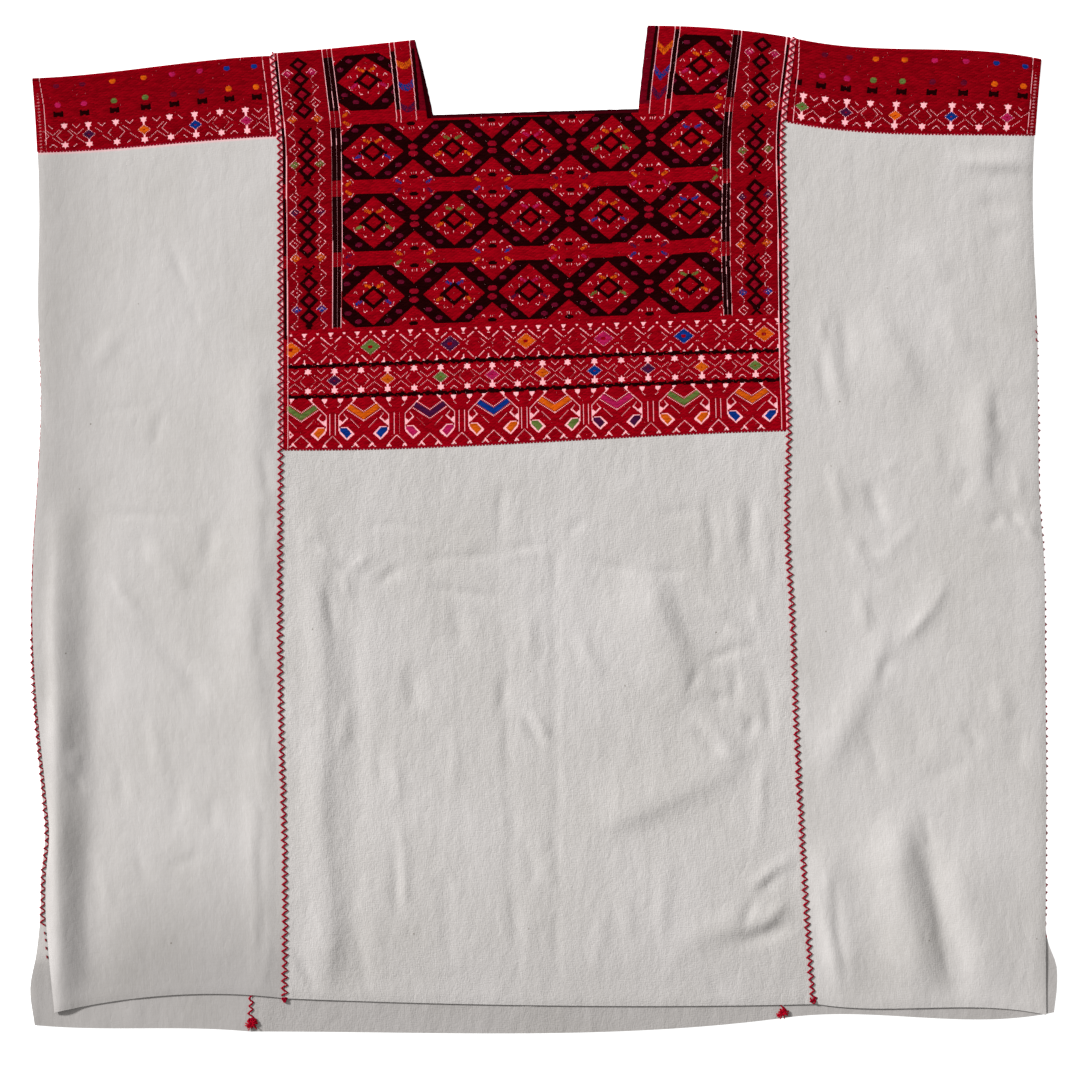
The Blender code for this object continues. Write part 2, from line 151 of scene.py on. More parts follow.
# Finer creases and puckers, left by wear, washing and folding: one half width, and the height.
fineCreases = (
    (-296, 234, -278, 192, 3.4, -0.56), (-288, 220, -275, 179, 3.4, -0.88),
    (-275, 179, -267, 158, 3.4, -0.56), (-295, 96, -305, 59, 3.9, -0.94), (-349, 11, -271, 11, 3.4, -0.5),
    (-358, 91, -298, 98, 3.4, -0.37), (-317, -5, -275, -51, 8, 1.3), (-314, 0, -310, -28, 4.7, -0.7),
    (-340, -33, -308, -74, 4.7, 1.14), (-317, -69, -257, -140, 8, -1.3),
    (-257, 13, -262, -37, 6.2, -1.04), (-337, 206, -335, 191, 3.4, -0.5), (-219, 73, -214, 18, 3.9, -1.01),
    (-216, 27, -218, -37, 3.9, -1.01), (-223, -37, -220, -115, 4.7, -1.04),
    (-227, -175, -220, -230, 3.4, -0.75), (-221, -216, -219, -349, 3.4, -0.99),
    (-214, -147, -211, -285, 3.4, 0.56), (-257, -202, -258, -239, 3.9, -0.72),
    (-319, -234, -310, -285, 3.4, -0.56), (-340, -120, -344, -193, 7, 0.7),
    (-331, -175, -328, -221, 4.7, -0.78), (-353, -78, -349, -129, 7, 0.7),
    (-298, -267, -262, -253, 4.7, -0.7), (-363, -170, -365, -193, 3.4, 0.75),
    (-368, -189, -358, -207, 3.4, -0.75), (-349, -239, -340, -299, 4.7, 0.86),
    (-310, -138, -294, -202, 5.5, 0.7), (-285, -184, -288, -244, 5.5, -0.7),
    (-326, 160, -353, 119, 6.2, 0.7), (-308, 41, -289, 36, 4.7, 0.53), (-175, -14, -156, -30, 3.4, 0.94),
    (-134, -16, -153, -34, 3.4, 0.94), (-155, -30, -152, -56, 3.4, 0.82),
    (-168, -41, -164, -87, 3.9, -1.09), (-185, -11, -172, -11, 3.4, -0.69),
    (-136, -45, -104, -26, 3.4, -0.69), (-104, -26, -28, -18, 3.4, -0.56), (-28, -18, 9, -11, 3.4, -0.62),
    (-35, -23, 0, -16, 3.4, 0.62), (-94, -42, -28, -56, 3.4, -0.69), (-141, 4, -82, 1, 3.4, -0.5),
    (31, -22, 74, -34, 3.4, -0.75), (74, -34, 117, -32, 3.4, -0.62), (14, -4, 34, 10, 3.4, -0.62),
    (-71, -54, -65, -97, 5.5, -0.91), (-104, -97, -102, -146, 6.2, -1.04), (-33, 40, -33, -18, 3.4, -0.88),
    (-33, -111, -31, -151, 3.4, -0.75), (8, 15, 11, -356, 3.4, -0.43), (-15, -139, 7, -165, 3.4, 1.12),
    (-19, -144, 3, -170, 3.4, -0.69), (117, -52, 167, -82, 3.4, 0.82), (167, -86, 122, -104, 3.4, -0.94),
    (122, -104, 111, -131, 3.4, -0.88), (139, -122, 141, -139, 5.5, -1.42),
    (148, -97, 149, -146, 3.4, -0.75), (165, -143, 160, -163, 3.4, -1.06), (165, -49, 168, -81, 3.4, 0.69),
    (114, -151, 144, -178, 4.7, -1.49), (165, -92, 139, -76, 3.4, 0.56), (128, 32, 132, -44, 3.9, -0.66),
    (147, 37, 150, -22, 3.4, 0.62), (160, 34, 161, -38, 3.4, -0.88), (171, 26, 174, -49, 3.9, 0.66),
    (85, 10, 128, 15, 3.9, -0.58), (171, -173, 165, -259, 3.9, 0.72), (171, -92, 177, -173, 3.9, -0.72),
    (191, -259, 165, -285, 3.9, -1.38), (165, -286, 154, -314, 3.9, -1.17),
    (191, -286, 165, -314, 3.9, 1.09), (198, -305, 139, -326, 5.5, -1.33),
    (128, -345, 139, -366, 3.4, -0.56), (-152, -130, -157, -173, 4.7, 0.86),
    (-125, -151, -130, -205, 3.9, -0.66), (-117, -167, -113, -216, 3.4, 0.62),
    (-112, -216, -108, -302, 3.4, 0.62), (-116, -227, -113, -313, 3.4, -0.62),
    (-147, -313, -136, -366, 3.9, -0.72), (-195, -323, -173, -366, 3.9, -0.72),
    (-17, -232, -6, -280, 4.7, -0.78), (47, -291, 36, -356, 4.7, 0.61), (63, -270, 69, -323, 4.7, 0.61),
    (-12, -54, -8, -108, 4.7, 0.61), (-71, -151, -68, -205, 4.7, 0.53), (26, -76, 47, -119, 6.2, 0.7),
    (-77, -259, -73, -345, 4.7, -0.43), (96, -248, 89, -323, 5.5, 0.61), (213, 142, 226, 82, 3.9, -0.94),
    (221, 156, 234, 91, 3.9, 0.94), (216, 174, 215, 142, 3.4, 0.56), (230, 174, 239, 119, 4.7, -0.78),
    (223, 55, 235, 0, 4.7, 0.96), (253, 41, 266, 0, 5.5, -1.33), (235, -5, 258, -37, 4.7, 0.86),
    (244, -10, 267, -19, 3.9, -0.66), (269, 56, 271, 43, 3.9, 0.8), (258, -28, 294, 9, 3.9, 0.72),
    (281, 224, 322, 192, 7.8, 1.31), (343, 230, 366, 224, 6.2, -1.04), (336, 257, 368, 247, 6.2, -0.93),
    (350, 114, 353, 73, 4.7, -1.57), (349, 64, 350, 27, 3.9, -1.17), (360, 19, 380, -10, 3.4, -1.5),
    (357, 16, 346, -1, 3.4, -0.99), (366, 12, 386, -6, 3.4, 0.99), (368, 55, 370, 18, 3.9, 0.8),
    (322, -37, 276, -92, 3.4, 1.06), (327, -33, 303, -66, 3.9, -0.5), (268, -94, 258, -130, 4.7, -1.74),
    (244, -42, 253, -83, 5.5, 1.01), (285, -124, 294, -184, 8, -0.7), (253, -147, 262, -202, 5.5, -0.7),
    (354, -115, 359, -152, 6.2, 1.17), (327, -147, 343, -175, 3.9, -0.72),
    (294, -216, 304, -253, 3.9, -0.94), (290, -198, 336, -175, 8, -0.6),
    (368, -152, 366, -193, 8, -0.8), (226, -262, 235, -367, 4.7, -1.39),
    (213, -257, 221, -299, 3.4, -0.88), (301, -257, 322, -367, 4.7, -0.86),
    (268, -220, 270, -229, 3.4, 0.94), (308, 174, 336, 137, 7, 0.91), (331, 55, 322, 18, 6.2, -0.82),
    (299, 82, 304, 41, 6.2, 0.7),
)
backCreases = (    # shallow ones of the back, where it lies on the floor
    (-352, 240, -338, -60, 7, 0.3), (-298, 60, -262, -170, 5, 0.25), (-330, -190, -322, -400, 6, 0.3),
    (-190, 150, -182, -110, 6, 0.25), (-128, -60, -104, -330, 5, 0.3), (-60, 110, 40, 20, 6, 0.25),
    (-24, -30, -12, -400, 5, 0.35), (60, -90, 150, -190, 7, 0.3), (96, 60, 104, -90, 4, 0.25),
    (140, -220, 60, -300, 6, 0.25), (232, 180, 262, 20, 8, 0.3), (340, 150, 346, -40, 6, 0.3),
    (330, -40, 240, -170, 6, 0.3), (262, -220, 286, -400, 7, 0.35), (330, -260, 352, -400, 6, 0.3),
    (-396, -330, -396, -400, 5, 1.2),
)


def smoothCurve(knots, values, at):    # through the values, with the slopes of their neighbours' chords
    knots, values = np.asarray(knots, float), np.asarray(values, float)
    i = np.clip(np.searchsorted(knots, at) - 1, 0, len(knots) - 2)
    slopes = np.gradient(values, knots)
    span = knots[i + 1] - knots[i]
    t = (at - knots[i]) / span
    rise = values[i + 1] - values[i]
    start, end = slopes[i] * span, slopes[i + 1] * span
    return values[i] + start * t + (3 * rise - 2 * start - end) * t ** 2 + (start + end - 2 * rise) * t ** 3


def edgeX(edge, y):
    heights, places = edge["y"][::-1], edge["x"][::-1]
    return smoothCurve(heights, places, np.clip(y, heights[0], heights[-1]))


def ease(value):    # 0 to 1 with level ends
    held = np.clip(value, 0.0, 1.0)
    return held * held * (3 - 2 * held)


def planPoint(web, side, share, down):    # where a point of a web's front or back lies in plan
    leftEdge, rightEdge, courses = web[side]

    def atDown(column):
        values = courses[column]
        if len(values) == 1:
            return np.full(down.shape, values[0])
        return smoothCurve(courses["down"], values, down)

    drop = foldReach * (1 - np.minimum(down / cloth["planCell"], 1.0))
    heights = [atDown(column) - drop for column in ("leftY", "innerLeftY", "innerRightY", "rightY")]
    left = edgeX(leftEdge, heights[0]) + cloth["seamGap"] / 2
    right = edgeX(rightEdge, heights[3]) - cloth["seamGap"] / 2
    a, b = web["shares"]
    places = (0.0, a, b, 1.0)
    y = 0.0
    for i, place in enumerate(places):    # the cubic through the four heights
        weight = 1.0
        for j, other in enumerate(places):
            if j != i:
                weight = weight * (share - other) / (place - other)
        y = y + weight * heights[i]
    inLeft, inRight = atDown("innerLeft"), atDown("innerRight")
    middle = inLeft + (share - a) / (b - a) * (inRight - inLeft)
    last = inRight + (share - b) / (1 - b) * (1 - inRight)
    across = np.where(share < a, share / a * inLeft, np.where(share < b, middle, last))
    return left + (right - left) * across, y


def foldsHeight(x, y, folds, taperLength):
    total = np.zeros(np.shape(x))
    for fromX, fromY, toX, toY, *halfWidths, height in folds:
        first, second = halfWidths[0], halfWidths[-1]    # at the right hand and the left hand of its run
        least = min(first, second)
        runX, runY = toX - fromX, toY - fromY
        length = math.hypot(runX, runY)
        along = ((x - fromX) * runX + (y - fromY) * runY) / length
        aside = ((x - fromX) * runY - (y - fromY) * runX) / length
        aside = aside - cloth["wander"] * least * np.sin(along / (4 * least) + fromX)
        reach = min(taperLength, max(length * 0.4, 2 * least))
        taper = ease(along / reach) * ease((length - along) / reach)
        uneven = 1 + cloth["unevenness"] * np.sin(along / (2.6 * least) + toY)
        total += height * uneven * taper * np.exp(-((aside / np.where(aside > 0, first, second)) ** 2))
    return total


def towardsEdge(least, distance):    # 1 inside the cloth, falling to least at its edge
    return least + (1 - least) * ease(distance / cloth["fade"])


def frontHeight(web, x, y, share, down):    # the front's under side above the surface that it lies on
    lastDown = web["front"][2]["down"][-1]
    fromShoulder = ease(down / cloth["fade"])
    held = fromShoulder * towardsEdge(cloth["hemHold"], lastDown - down)
    if web["outer"]:
        fromSide = abs(x - edgeX(web["outer"], y))
        held = held * towardsEdge(cloth["sideHold"], fromSide)
    if web["neck"]:
        a, b = web["shares"]
        beside = np.maximum(a - share, share - b) / cloth["neckFade"]
        held = held * ease(np.maximum(beside, (down - web["neck"][0]) / cloth["fade"]))
    rise = cloth["layerGap"] + cloth["pillow"] * held
    rise = rise + foldsHeight(x, y, largeFolds, cloth["foldTaper"]) * fromShoulder
    rise = np.maximum(rise, cloth["leastGap"])
    rise = rise + web["crumpled"] * foldsHeight(x, y, fineCreases, cloth["creaseTaper"])
    rise = rise - cloth["hemDrop"] * (1 - ease((lastDown - down) / cloth["hemWidth"]))
    if web["outer"]:
        rise = rise - cloth["sideDrop"] * (1 - ease(fromSide / cloth["sideWidth"]))
    least, soft = cloth["creaseFloor"]    # a deep crease flattens out where it meets the back
    return cloth["wall"] + least + soft * np.logaddexp(0, (rise - least) / soft)


def rim(web, share, along):    # 1 at the front's hem and outer edge, where the cloth is pressed thin
    down = along - foldHalf
    edge = ease((web["front"][2]["down"][-1] - down) / cloth["rimHem"])
    if web["outer"]:
        aside = (share if web["outer"] is leftSideFront else 1 - share) * web["width"]
        edge = edge * ease(aside / cloth["rimSide"])
    return (1 - edge) * ease(down / cloth["rimStart"])


# Points of a web. along runs over the shoulder from its middle, and down the front where it is above 0.
def clothPoint(web, share, along, lift):
    share, along, lift = np.broadcast_arrays(np.asarray(share, float), np.asarray(along, float), lift)
    down = np.maximum(abs(along) - foldHalf, 0.0)
    lift = lift * (1 - cloth["rimThin"] * rim(web, share, along))
    frontX, frontY = planPoint(web, "front", share, down)
    backX, backY = planPoint(web, "back", share, down)
    frontZ = frontHeight(web, frontX, frontY, share, down) + lift
    turn = np.clip(along / foldHalf, -1, 1) * math.pi / 2
    foldY = frontY + (foldRadius + lift) * np.cos(turn)
    foldZ = cloth["wall"] + foldRadius + (foldRadius + lift) * np.sin(turn)
    creases = foldsHeight(backX, backY, backCreases, cloth["creaseTaper"]) * ease(down / cloth["hemWidth"])
    backZ = cloth["wall"] - lift + creases
    ahead, behind = along >= foldHalf, along <= -foldHalf
    x = np.where(behind, backX, frontX)
    y = np.where(ahead, frontY, np.where(behind, backY, foldY))
    z = np.where(ahead, frontZ, np.where(behind, backZ, foldZ))
    return np.stack([x, y, z], -1)


# ---- the pattern's chart: a unit is one pattern weft both ways, and a cell is a weft high and half as wide
pick = 0.78    # mm from one pattern weft to the next
yokeWide, yokeHigh, fieldHigh = 508, 403, 283
bandWide, bandHigh = 240, 81
yarns = {
    "ground": 0, "red": 1, "black": 2, "orange": 3, "blue": 4, "green": 5, "magenta": 6,
    "purple": 7, "wine": 8, "maroon": 9, "darkRed": 10, "deepRed": 11,
}


def newChart(width, height):
    return np.zeros((round(height), round(width * 2)), np.int8)


def paint(chart, yarn, left, top, right, bottom, inside=None):    # the cells of a box, or of a shape in it
    firstRow, lastRow = max(0, math.floor(top)), min(chart.shape[0], math.ceil(bottom))
    firstEnd, lastEnd = max(0, math.floor(left * 2)), min(chart.shape[1], math.ceil(right * 2))
    if firstRow >= lastRow or firstEnd >= lastEnd:
        return
    v = np.arange(firstRow, lastRow)[:, None] + 0.5
    u = np.arange(firstEnd, lastEnd)[None, :] / 2 + 0.25
    hit = (u >= left) & (u <= right) & (v >= top) & (v <= bottom)
    if inside:
        hit &= inside(u, v)
    chart[firstRow:lastRow, firstEnd:lastEnd][hit] = yarns[yarn]


def diamond(chart, yarn, x, y, wide, high):    # wide and high are half its size
    def inside(u, v):
        return abs(u - x) / wide + abs(v - y) / high <= 1

    paint(chart, yarn, x - wide, y - high, x + wide, y + high, inside)


def dot(chart, yarn, x, y, wide, high):
    def inside(u, v):
        return ((u - x) / wide) ** 2 + ((v - y) / high) ** 2 <= 1

    paint(chart, yarn, x - wide, y - high, x + wide, y + high, inside)


def line(chart, yarn, points, width=1.0):    # a stroke through the points
    for (x0, y0), (x1, y1) in zip(points, points[1:]):
        runX, runY = x1 - x0, y1 - y0

        def inside(u, v):
            along = np.clip(((u - x0) * runX + (v - y0) * runY) / (runX ** 2 + runY ** 2), 0, 1)
            return np.hypot(u - x0 - along * runX, v - y0 - along * runY) <= width / 2

        paint(chart, yarn, min(x0, x1) - width, min(y0, y1) - width,
              max(x0, x1) + width, max(y0, y1) + width, inside)


def shape(chart, yarn, points):    # a filled outline
    def inside(u, v):
        odd = np.zeros(np.broadcast(u, v).shape, bool)
        for (x0, y0), (x1, y1) in zip(points, points[1:] + points[:1]):
            crosses = (v < y0) != (v < y1)
            reach = x0 + (v - y0) * (x1 - x0) / ((y1 - y0) or 1)
            odd ^= crosses & (u < reach)
        return odd

    xs, ys = zip(*points)
    paint(chart, yarn, min(xs), min(ys), max(xs), max(ys), inside)


def turned(side, x, y, points):    # points round a middle, mirrored where side is -1
    return [(x + side * across, y + down) for across, down in points]


# Field: lozenges in black frames, with a red lozenge in each gap between four.
lozenge = {"wide": 31.3, "high": 25.3, "eyeWide": 13.4, "eyeHigh": 10.6}    # half sizes
lozengeRows = (    # middle of each row at the left, what it climbs to the next lozenge, and half heights
    {"row": 36.6, "climb": 0.2, "high": 25.3, "eyeHigh": 10.6, "shift": 2.6,
     "hooks": ("orange magenta", "", "", "", "orange magenta")},
    {"row": 109.2, "climb": 1.4, "high": 25.3, "eyeHigh": 10.6,
     "hooks": ("orange blue", "green orange", "magenta purple", "orange green", "blue orange")},
    {"row": 179.6, "climb": 1.5, "high": 25.6, "eyeHigh": 10.8,
     "hooks": ("orange green", "green orange", "magenta purple", "orange blue", "blue orange")},
    {"row": 253.2, "climb": 1.0, "high": 27.3, "eyeHigh": 11.8,
     "hooks": ("orange blue", "blue orange", "magenta purple", "orange green", "green orange")},
)
lozengeColumns = (93.2, 174.2, 255.0, 335.5, 416.6)
gapRows = (    # red lozenges in the gaps, from the left edge to the right
    {"row": 1.4, "climb": 0.5, "hooks": ("", "", "", "", "", "")},
    {"row": 74.2, "climb": 1.0, "hooks": ("orange orange", "", "", "", "", "orange orange")},
    {"row": 144.2, "climb": 1.1,
     "hooks": ("orange orange", "blue purple", "orange blue", "purple orange", "orange magenta",
               "green green")},
    {"row": 215.4, "climb": 1.1,
     "hooks": ("purple purple", "orange green", "blue orange", "orange magenta", "purple blue",
               "orange orange")},
    {"row": 289.0, "climb": 0.8, "hooks": ("", "", "", "", "", "")},
)
gapColumns = (52.7, 133.6, 214.4, 295.2, 376.0, 457.0)
# small ground marks of both kinds of lozenge, at their right side: width of the line, and its points
lozengeMarks = (
    (0.9, [(7.0, -14.4), (9.2, -15.2), (11.0, -12.8)]), (0.8, [(20.2, 5.2), (19.0, 8.8), (16.0, 9.4)]),
    (1.2, [(10.2, 4.4), (9.9, 6.6)]), (0.8, [(16.4, -3.8), (18.4, -6.6), (20.6, -4.4)]),
    (1.2, [(10.4, -6.4), (10.2, -4.2)]), (0.8, [(10.6, 11.6), (9.2, 14.4), (6.8, 13.4)]),
)
gapMarks = (
    (1.0, [(7.2, -11.6), (9.2, -14.0), (11.2, -11.8)]), (1.0, [(7.4, 12.0), (9.0, 14.2), (11.4, 11.6)]),
    (1.1, [(9.9, -5.4), (9.9, -3.8)]), (1.1, [(9.9, 4.2), (9.9, 5.8)]),
)
gapHookMarks = (
    (0.8, [(14.2, -7.4), (18.4, -8.2), (20.4, -5.4)]), (0.8, [(20.4, 5.4), (18.6, 8.8), (15.6, 8.4)]),
)


def strokes(chart, x, y, paths, sides=(-1, 1), yarn="ground"):    # lines, the same at both sides of a middle
    for side in sides:
        for width, points in paths:
            line(chart, yarn, turned(side, x, y, points), width)


def paintLozenge(chart, x, y, high, eyeHigh, hooks):
    diamond(chart, "red", x, y, lozenge["wide"], high)
    for side in (-1, 1):
        for across, down in ((16.6, -22), (26.8, -13), (25.6, 13.7), (15, 21.5)):
            dot(chart, "wine", x + side * across, y + down * high / lozenge["high"], 3.5, 2.2)
    if not hooks:
        return
    top, sides = hooks.split()
    strokes(chart, x, y, [(2.8, [(3.6, -10.0), (8.0, -11.9)])], yarn=top)
    strokes(chart, x, y, [(2.9, [(12.8, 3.6), (17.0, 6.2)])], yarn=sides)
    strokes(chart, x, y, lozengeMarks)
    strokes(chart, x, y, [(1.0, [(-1.2, -13.4), (-1.2, -11.8)]), (1.0, [(-1.4, 11.6), (-1.4, 13.0)])], (1,))
    wide = lozenge["eyeWide"] + (eyeHigh - lozenge["eyeHigh"])
    diamond(chart, "black", x, y, wide, eyeHigh)
    diamond(chart, "red", x, y, wide - 6.0, eyeHigh - 4.6)
    for side in (-1, 1):
        dot(chart, "black", x + side * 13.2, y + 1.2, 1.6, 1.3)


def paintGap(chart, x, y, hooks):
    diamond(chart, "red", x, y, 31.0, 26.0)
    for side in (-1, 1):
        dot(chart, "black", x, y + side * 8.5, 4.6, 2.1)
        ticks = [(0.9, [(across, side * 11.8), (across, side * 13.4)]) for across in (-2.0, 0.2, 2.4)]
        strokes(chart, x, y, ticks, (1,))
    strokes(chart, x, y, gapMarks)
    if not hooks:
        return
    upper, lower = hooks.split()
    strokes(chart, x, y, [(2.8, [(13.4, -2.8), (17.0, -5.1)])], yarn=upper)
    strokes(chart, x, y, [(2.9, [(13.8, 3.5), (17.4, 6.0)])], yarn=lower)
    strokes(chart, x, y, gapHookMarks)


def lean(x, row):    # lower down, the right half of the field is drawn to the left
    return -(np.interp(x, (195, 255, 335, 417, 450), (0, 1, 1.05, 0.85, 0.8))
             * np.interp(row, (109, 144, 180, 215, 253), (0, 1, 2.6, 4, 4.7)))


def paintField(chart, left, right, bottom):
    paint(chart, "black", left, 0, right, bottom)
    for row in gapRows:
        climb = row["climb"] * 5
        line(chart, "red", [(left, row["row"]), (right, row["row"] - climb)], 14.0)
    for row in gapRows:
        for i, (x, hooks) in enumerate(zip(gapColumns, row["hooks"])):
            paintGap(chart, x + lean(x, row["row"]), row["row"] - row["climb"] * (i - 0.5), hooks)
    for row in lozengeRows:
        apart = 3.4 if row["high"] < 27 else 4.3
        for i, x in enumerate(gapColumns):
            across, middle = x + lean(x, row["row"]), row["row"] - row["climb"] * (i - 0.5)
            for side in (-1, 1):
                dot(chart, "darkRed", across, middle + side * apart, 4.8, 2.8)
        shift = row.get("shift", 0)
        for i, (x, hooks) in enumerate(zip(lozengeColumns, row["hooks"])):
            across, middle = x + shift + lean(x, row["row"]), row["row"] - row["climb"] * i
            paintLozenge(chart, across, middle, row["high"], row["eyeHigh"], hooks)


# Stripes along the warp: white ground lines with black between, broken where the field has its red bars. A
# line is given by how far across it lies at some rows.
stripeSets = (
    {"lines": (((52.4, 0), (52.4, 72), (51.7, 110), (52.0, 283)),
               ((57.8, 0), (57.4, 72), (56.8, 110), (56.6, 283)),
               ((62.4, 0), (62.6, 72), (61.6, 110), (61.4, 200), (60.4, 283))),
     "black": ((8, 66), (83, 137), (153, 208), (222, 281))},
    {"lines": (((448.3, 0), (448.2, 146), (445.6, 190), (445.0, 230), (446.0, 283)),
               ((453.4, 0), (452.7, 146), (450.0, 190), (449.4, 230), (450.2, 283)),
               ((456.6, 0), (456.0, 146), (454.2, 190), (453.6, 230), (454.6, 283))),
     "black": ((3, 66), (80, 136), (150, 208), (222, 281))},
)


def along(points, row):    # how far across a line runs at this row
    xs, rows = zip(*points)
    return np.interp(row, rows, xs)


def paintStripes(chart, stripes):
    lines = stripes["lines"]
    for outer, inner in zip(lines, lines[1:]):
        for top, bottom in stripes["black"]:
            shape(chart, "black", [(along(outer, top), top), (along(inner, top), top),
                                   (along(inner, bottom), bottom), (along(outer, bottom), bottom)])
    for points, width in zip(lines, (0.8, 0.6, 0.8)):
        line(chart, "ground", list(points), width)


# Columns of small black diamonds between the stripes and the joins, with white square hooks at both sides.
chains = (
    {"middle": ((13, 26.5), (125, 27.3), (205, 27.3), (236, 28.4), (270, 28.6)),
     "diamonds": (13.9, 30.1, 46.4, 63.6, 96.0, 110.6, 125.6, 159.4, 174.6, 189.0, 203.4, 236.8, 253.8,
                  269.8),
     "crosses": ((87.2, -1), (135.4, 1), (225.2, -1), (280.4, 1)),
     "hooks": (23.6, 39.6, 55.8, 72.6, 88.4, 103.6, 119.2, 135.4, 151.4, 166.8, 182.0, 197.0, 212.0, 228.8,
               245.6, 262.4, 278.4),
     "fills": "magenta . . orange . . green . . purple . . orange . . blue ."},
    {"middle": ((11, 478.4), (29.8, 479.4), (64.7, 482), (127.7, 480.8), (159, 480.4), (190, 478.6),
                (205, 478), (236.8, 476.3), (269.8, 479.2)),
     "diamonds": (11.2, 30.2, 48.8, 65.7, 96.5, 112.8, 129.5, 157.2, 172.8, 188.2, 204.0, 235.2, 251.6,
                  267.8),
     "crosses": ((89.2, -1), (138.6, 1), (227.2, -1), (277.3, 1)),
     "hooks": (20.6, 38.8, 56.6, 74.6, 104.4, 119.6, 136.0, 165.0, 181.0, 196.0, 211.6, 226.8, 243.6, 259.2,
               277.0),
     "fills": "magenta . . orange . green . purple . . orange . . blue ."},
)


def paintChain(chart, chain):
    rows, places = zip(*chain["middle"])
    for y, way in chain["crosses"]:    # short legs towards the diamond, long ones away from it
        x = np.interp(y, rows, places)
        for side in (-1, 1):
            legs = [(x - side * 2.6, y - way * 2.2), (x, y), (x + side * 5.2, y + way * 4.6)]
            line(chart, "black", legs, 2.4)
    for yarn, wide, high in (("black", 9.8, 9.3), ("darkRed", 4.9, 4.3)):
        for y in chain["diamonds"]:
            diamond(chart, yarn, np.interp(y, rows, places), y, wide, high)
    fills = chain["fills"].split()
    for i, (y, fill, after) in enumerate(zip(chain["hooks"], fills, (*chain["hooks"][1:], 300))):
        for side in (-1, 1):
            middle = np.interp(y, rows, places) + side * 12.6
            square = [(-5.4, 0), (0, -4.8), (5.4, 0), (0, 4.8)]
            square = square[1:] if i % 3 == 1 else square + [(-3.0, 1.8)] * (i % 3 == 2)
            marks = [(0.85, square)]
            if fill == ".":
                marks.append((0.7, [(-1.4, 0.6), (0.8, -0.8)]))
            else:
                diamond(chart, fill, middle, y, 4.8, 3.7)
                marks.append((0.6, [(-2.2, 1.2), (0, -1.4), (1.6, 0.4)]))
            if after - y < 20:    # a link to the next hook
                marks.append((0.7, [(0, 4.8), (-1.4, 6.8), (-1.4, 9.2), (0, 11.2)]))
            strokes(chart, middle, y, marks, (side,))


# Bands under the field. Their columns lie a little closer in the middle of the web.
bandColumns = {"count": (-1, 0, 6, 10, 14, 18, 19), "x": (0.5, 27.2, 187.2, 288.1, 395.7, 503.5, 530.4)}
bandA = {"top": 283.0, "middle": 301.4, "lean": -3.6,
         "fills": ("orange", "green", "purple", "orange", "magenta", "blue", "orange")}
bandB = {"topLine": 318.4, "bottomLine": 348.6, "topStars": 323.6, "bottomStars": 343.0, "middle": 333.2,
         "fills": ("purple", "orange", "green", "magenta", "orange", "blue", "purple", "orange", "green")}
bandC = {"motifs": (    # middle, and the colours of the chevron and of the hooks at its sides
    (20.4, "green", "orange"), (83.0, "orange", "blue"), (149.2, "purple", "magenta"),
    (213.1, "blue", "orange"), (274.5, "orange", "green"), (336.5, "magenta", "purple"),
    (403.9, "green", "orange"), (472.1, "orange", "blue"))}


def bandColumn(number):
    return float(np.interp(number, bandColumns["count"], bandColumns["x"]))


def star(chart, x, y):    # two triangles across each other
    shape(chart, "ground", [(x, y - 4.2), (x + 3.7, y + 2.0), (x - 3.7, y + 2.0)])
    shape(chart, "ground", [(x, y + 4.2), (x + 3.7, y - 2.0), (x - 3.7, y - 2.0)])


bandPeak = [(-2.8, -15.0), (2.8, -15.0), (0.6, -11.8), (-1.0, -11.8)]
bandFoot = [(-3.9, 16.8), (-0.7, 13.2), (-0.7, 10.2), (0.7, 10.2), (0.7, 13.2), (3.9, 16.8)]


def paintBandA(chart):
    y = bandA["middle"]
    for i in range(-1, 19):
        x = bandColumn(i + 0.5) + bandA["lean"]
        if i % 3 == 2:
            diamond(chart, "ground", x, y, 10.6, 8.2)
            diamond(chart, bandA["fills"][(i + 1) // 3], x, y, 9.8, 7.5)
            dot(chart, "red", x - 0.4, y, 2.4, 1.8)
        else:
            strokes(chart, x, y, [(0.7, [(4.0, -4.8), (9.8, 0), (5.0, 4.0)])], (1,))
            strokes(chart, x, y, [(0.6, [(6.4, -2.8), (9.8, 0), (8.0, 1.6)])], (-1,))
        dot(chart, "ground", x, y - 14.6, 1.4, 1.3)
        shape(chart, "ground", [(x - 2.2, y + 16.2), (x, y + 13.4), (x + 2.2, y + 16.2)])
    for i in range(0, 20):
        x = bandColumn(i) + bandA["lean"]
        strokes(chart, x, y, [(1.3, [(10.2, -11.2), (4.4, -6.3)]), (0.7, [(2.6, -4.4), (0, -3.0)]),
                              (1.2, [(4.4, 8.0), (9.8, 13.2)]), (0.6, [(0, 4.6), (2.4, 6.0)])])
        line(chart, "ground", [(x - 4.4, y - 6.3), (x - 2.4, y - 4.6)], 1.0)
        shape(chart, "ground", turned(1, x, y, bandPeak))
        dot(chart, "ground", x, y - 9.8, 1.5, 0.8)
        shape(chart, "ground", turned(1, x, y, bandFoot))


def blackCourse(chart, left, right, y, columns):    # a jagged black line, thicker at each star
    line(chart, "black", [(left, y), (right, y)], 2.6)
    for i, x in enumerate(np.arange(left + 2, right, 6.3)):
        dot(chart, "black", x, y + (0.8 if i % 2 else -0.8), 2.3, 2.0)
    for x in columns:
        dot(chart, "black", x, y, 4.6, 2.2)
        dot(chart, "black", x + 13.4, y + 0.4, 3.0, 1.9)
        paint(chart, "red", x + 6.0, y - 1.8, x + 8.0, y - 0.2)
        paint(chart, "red", x + 18.4, y - 1.8, x + 20.2, y - 0.6)
        paint(chart, "red", x + 9.2, y + 0.8, x + 10.4, y + 1.8)


patchy = np.random.default_rng(11)


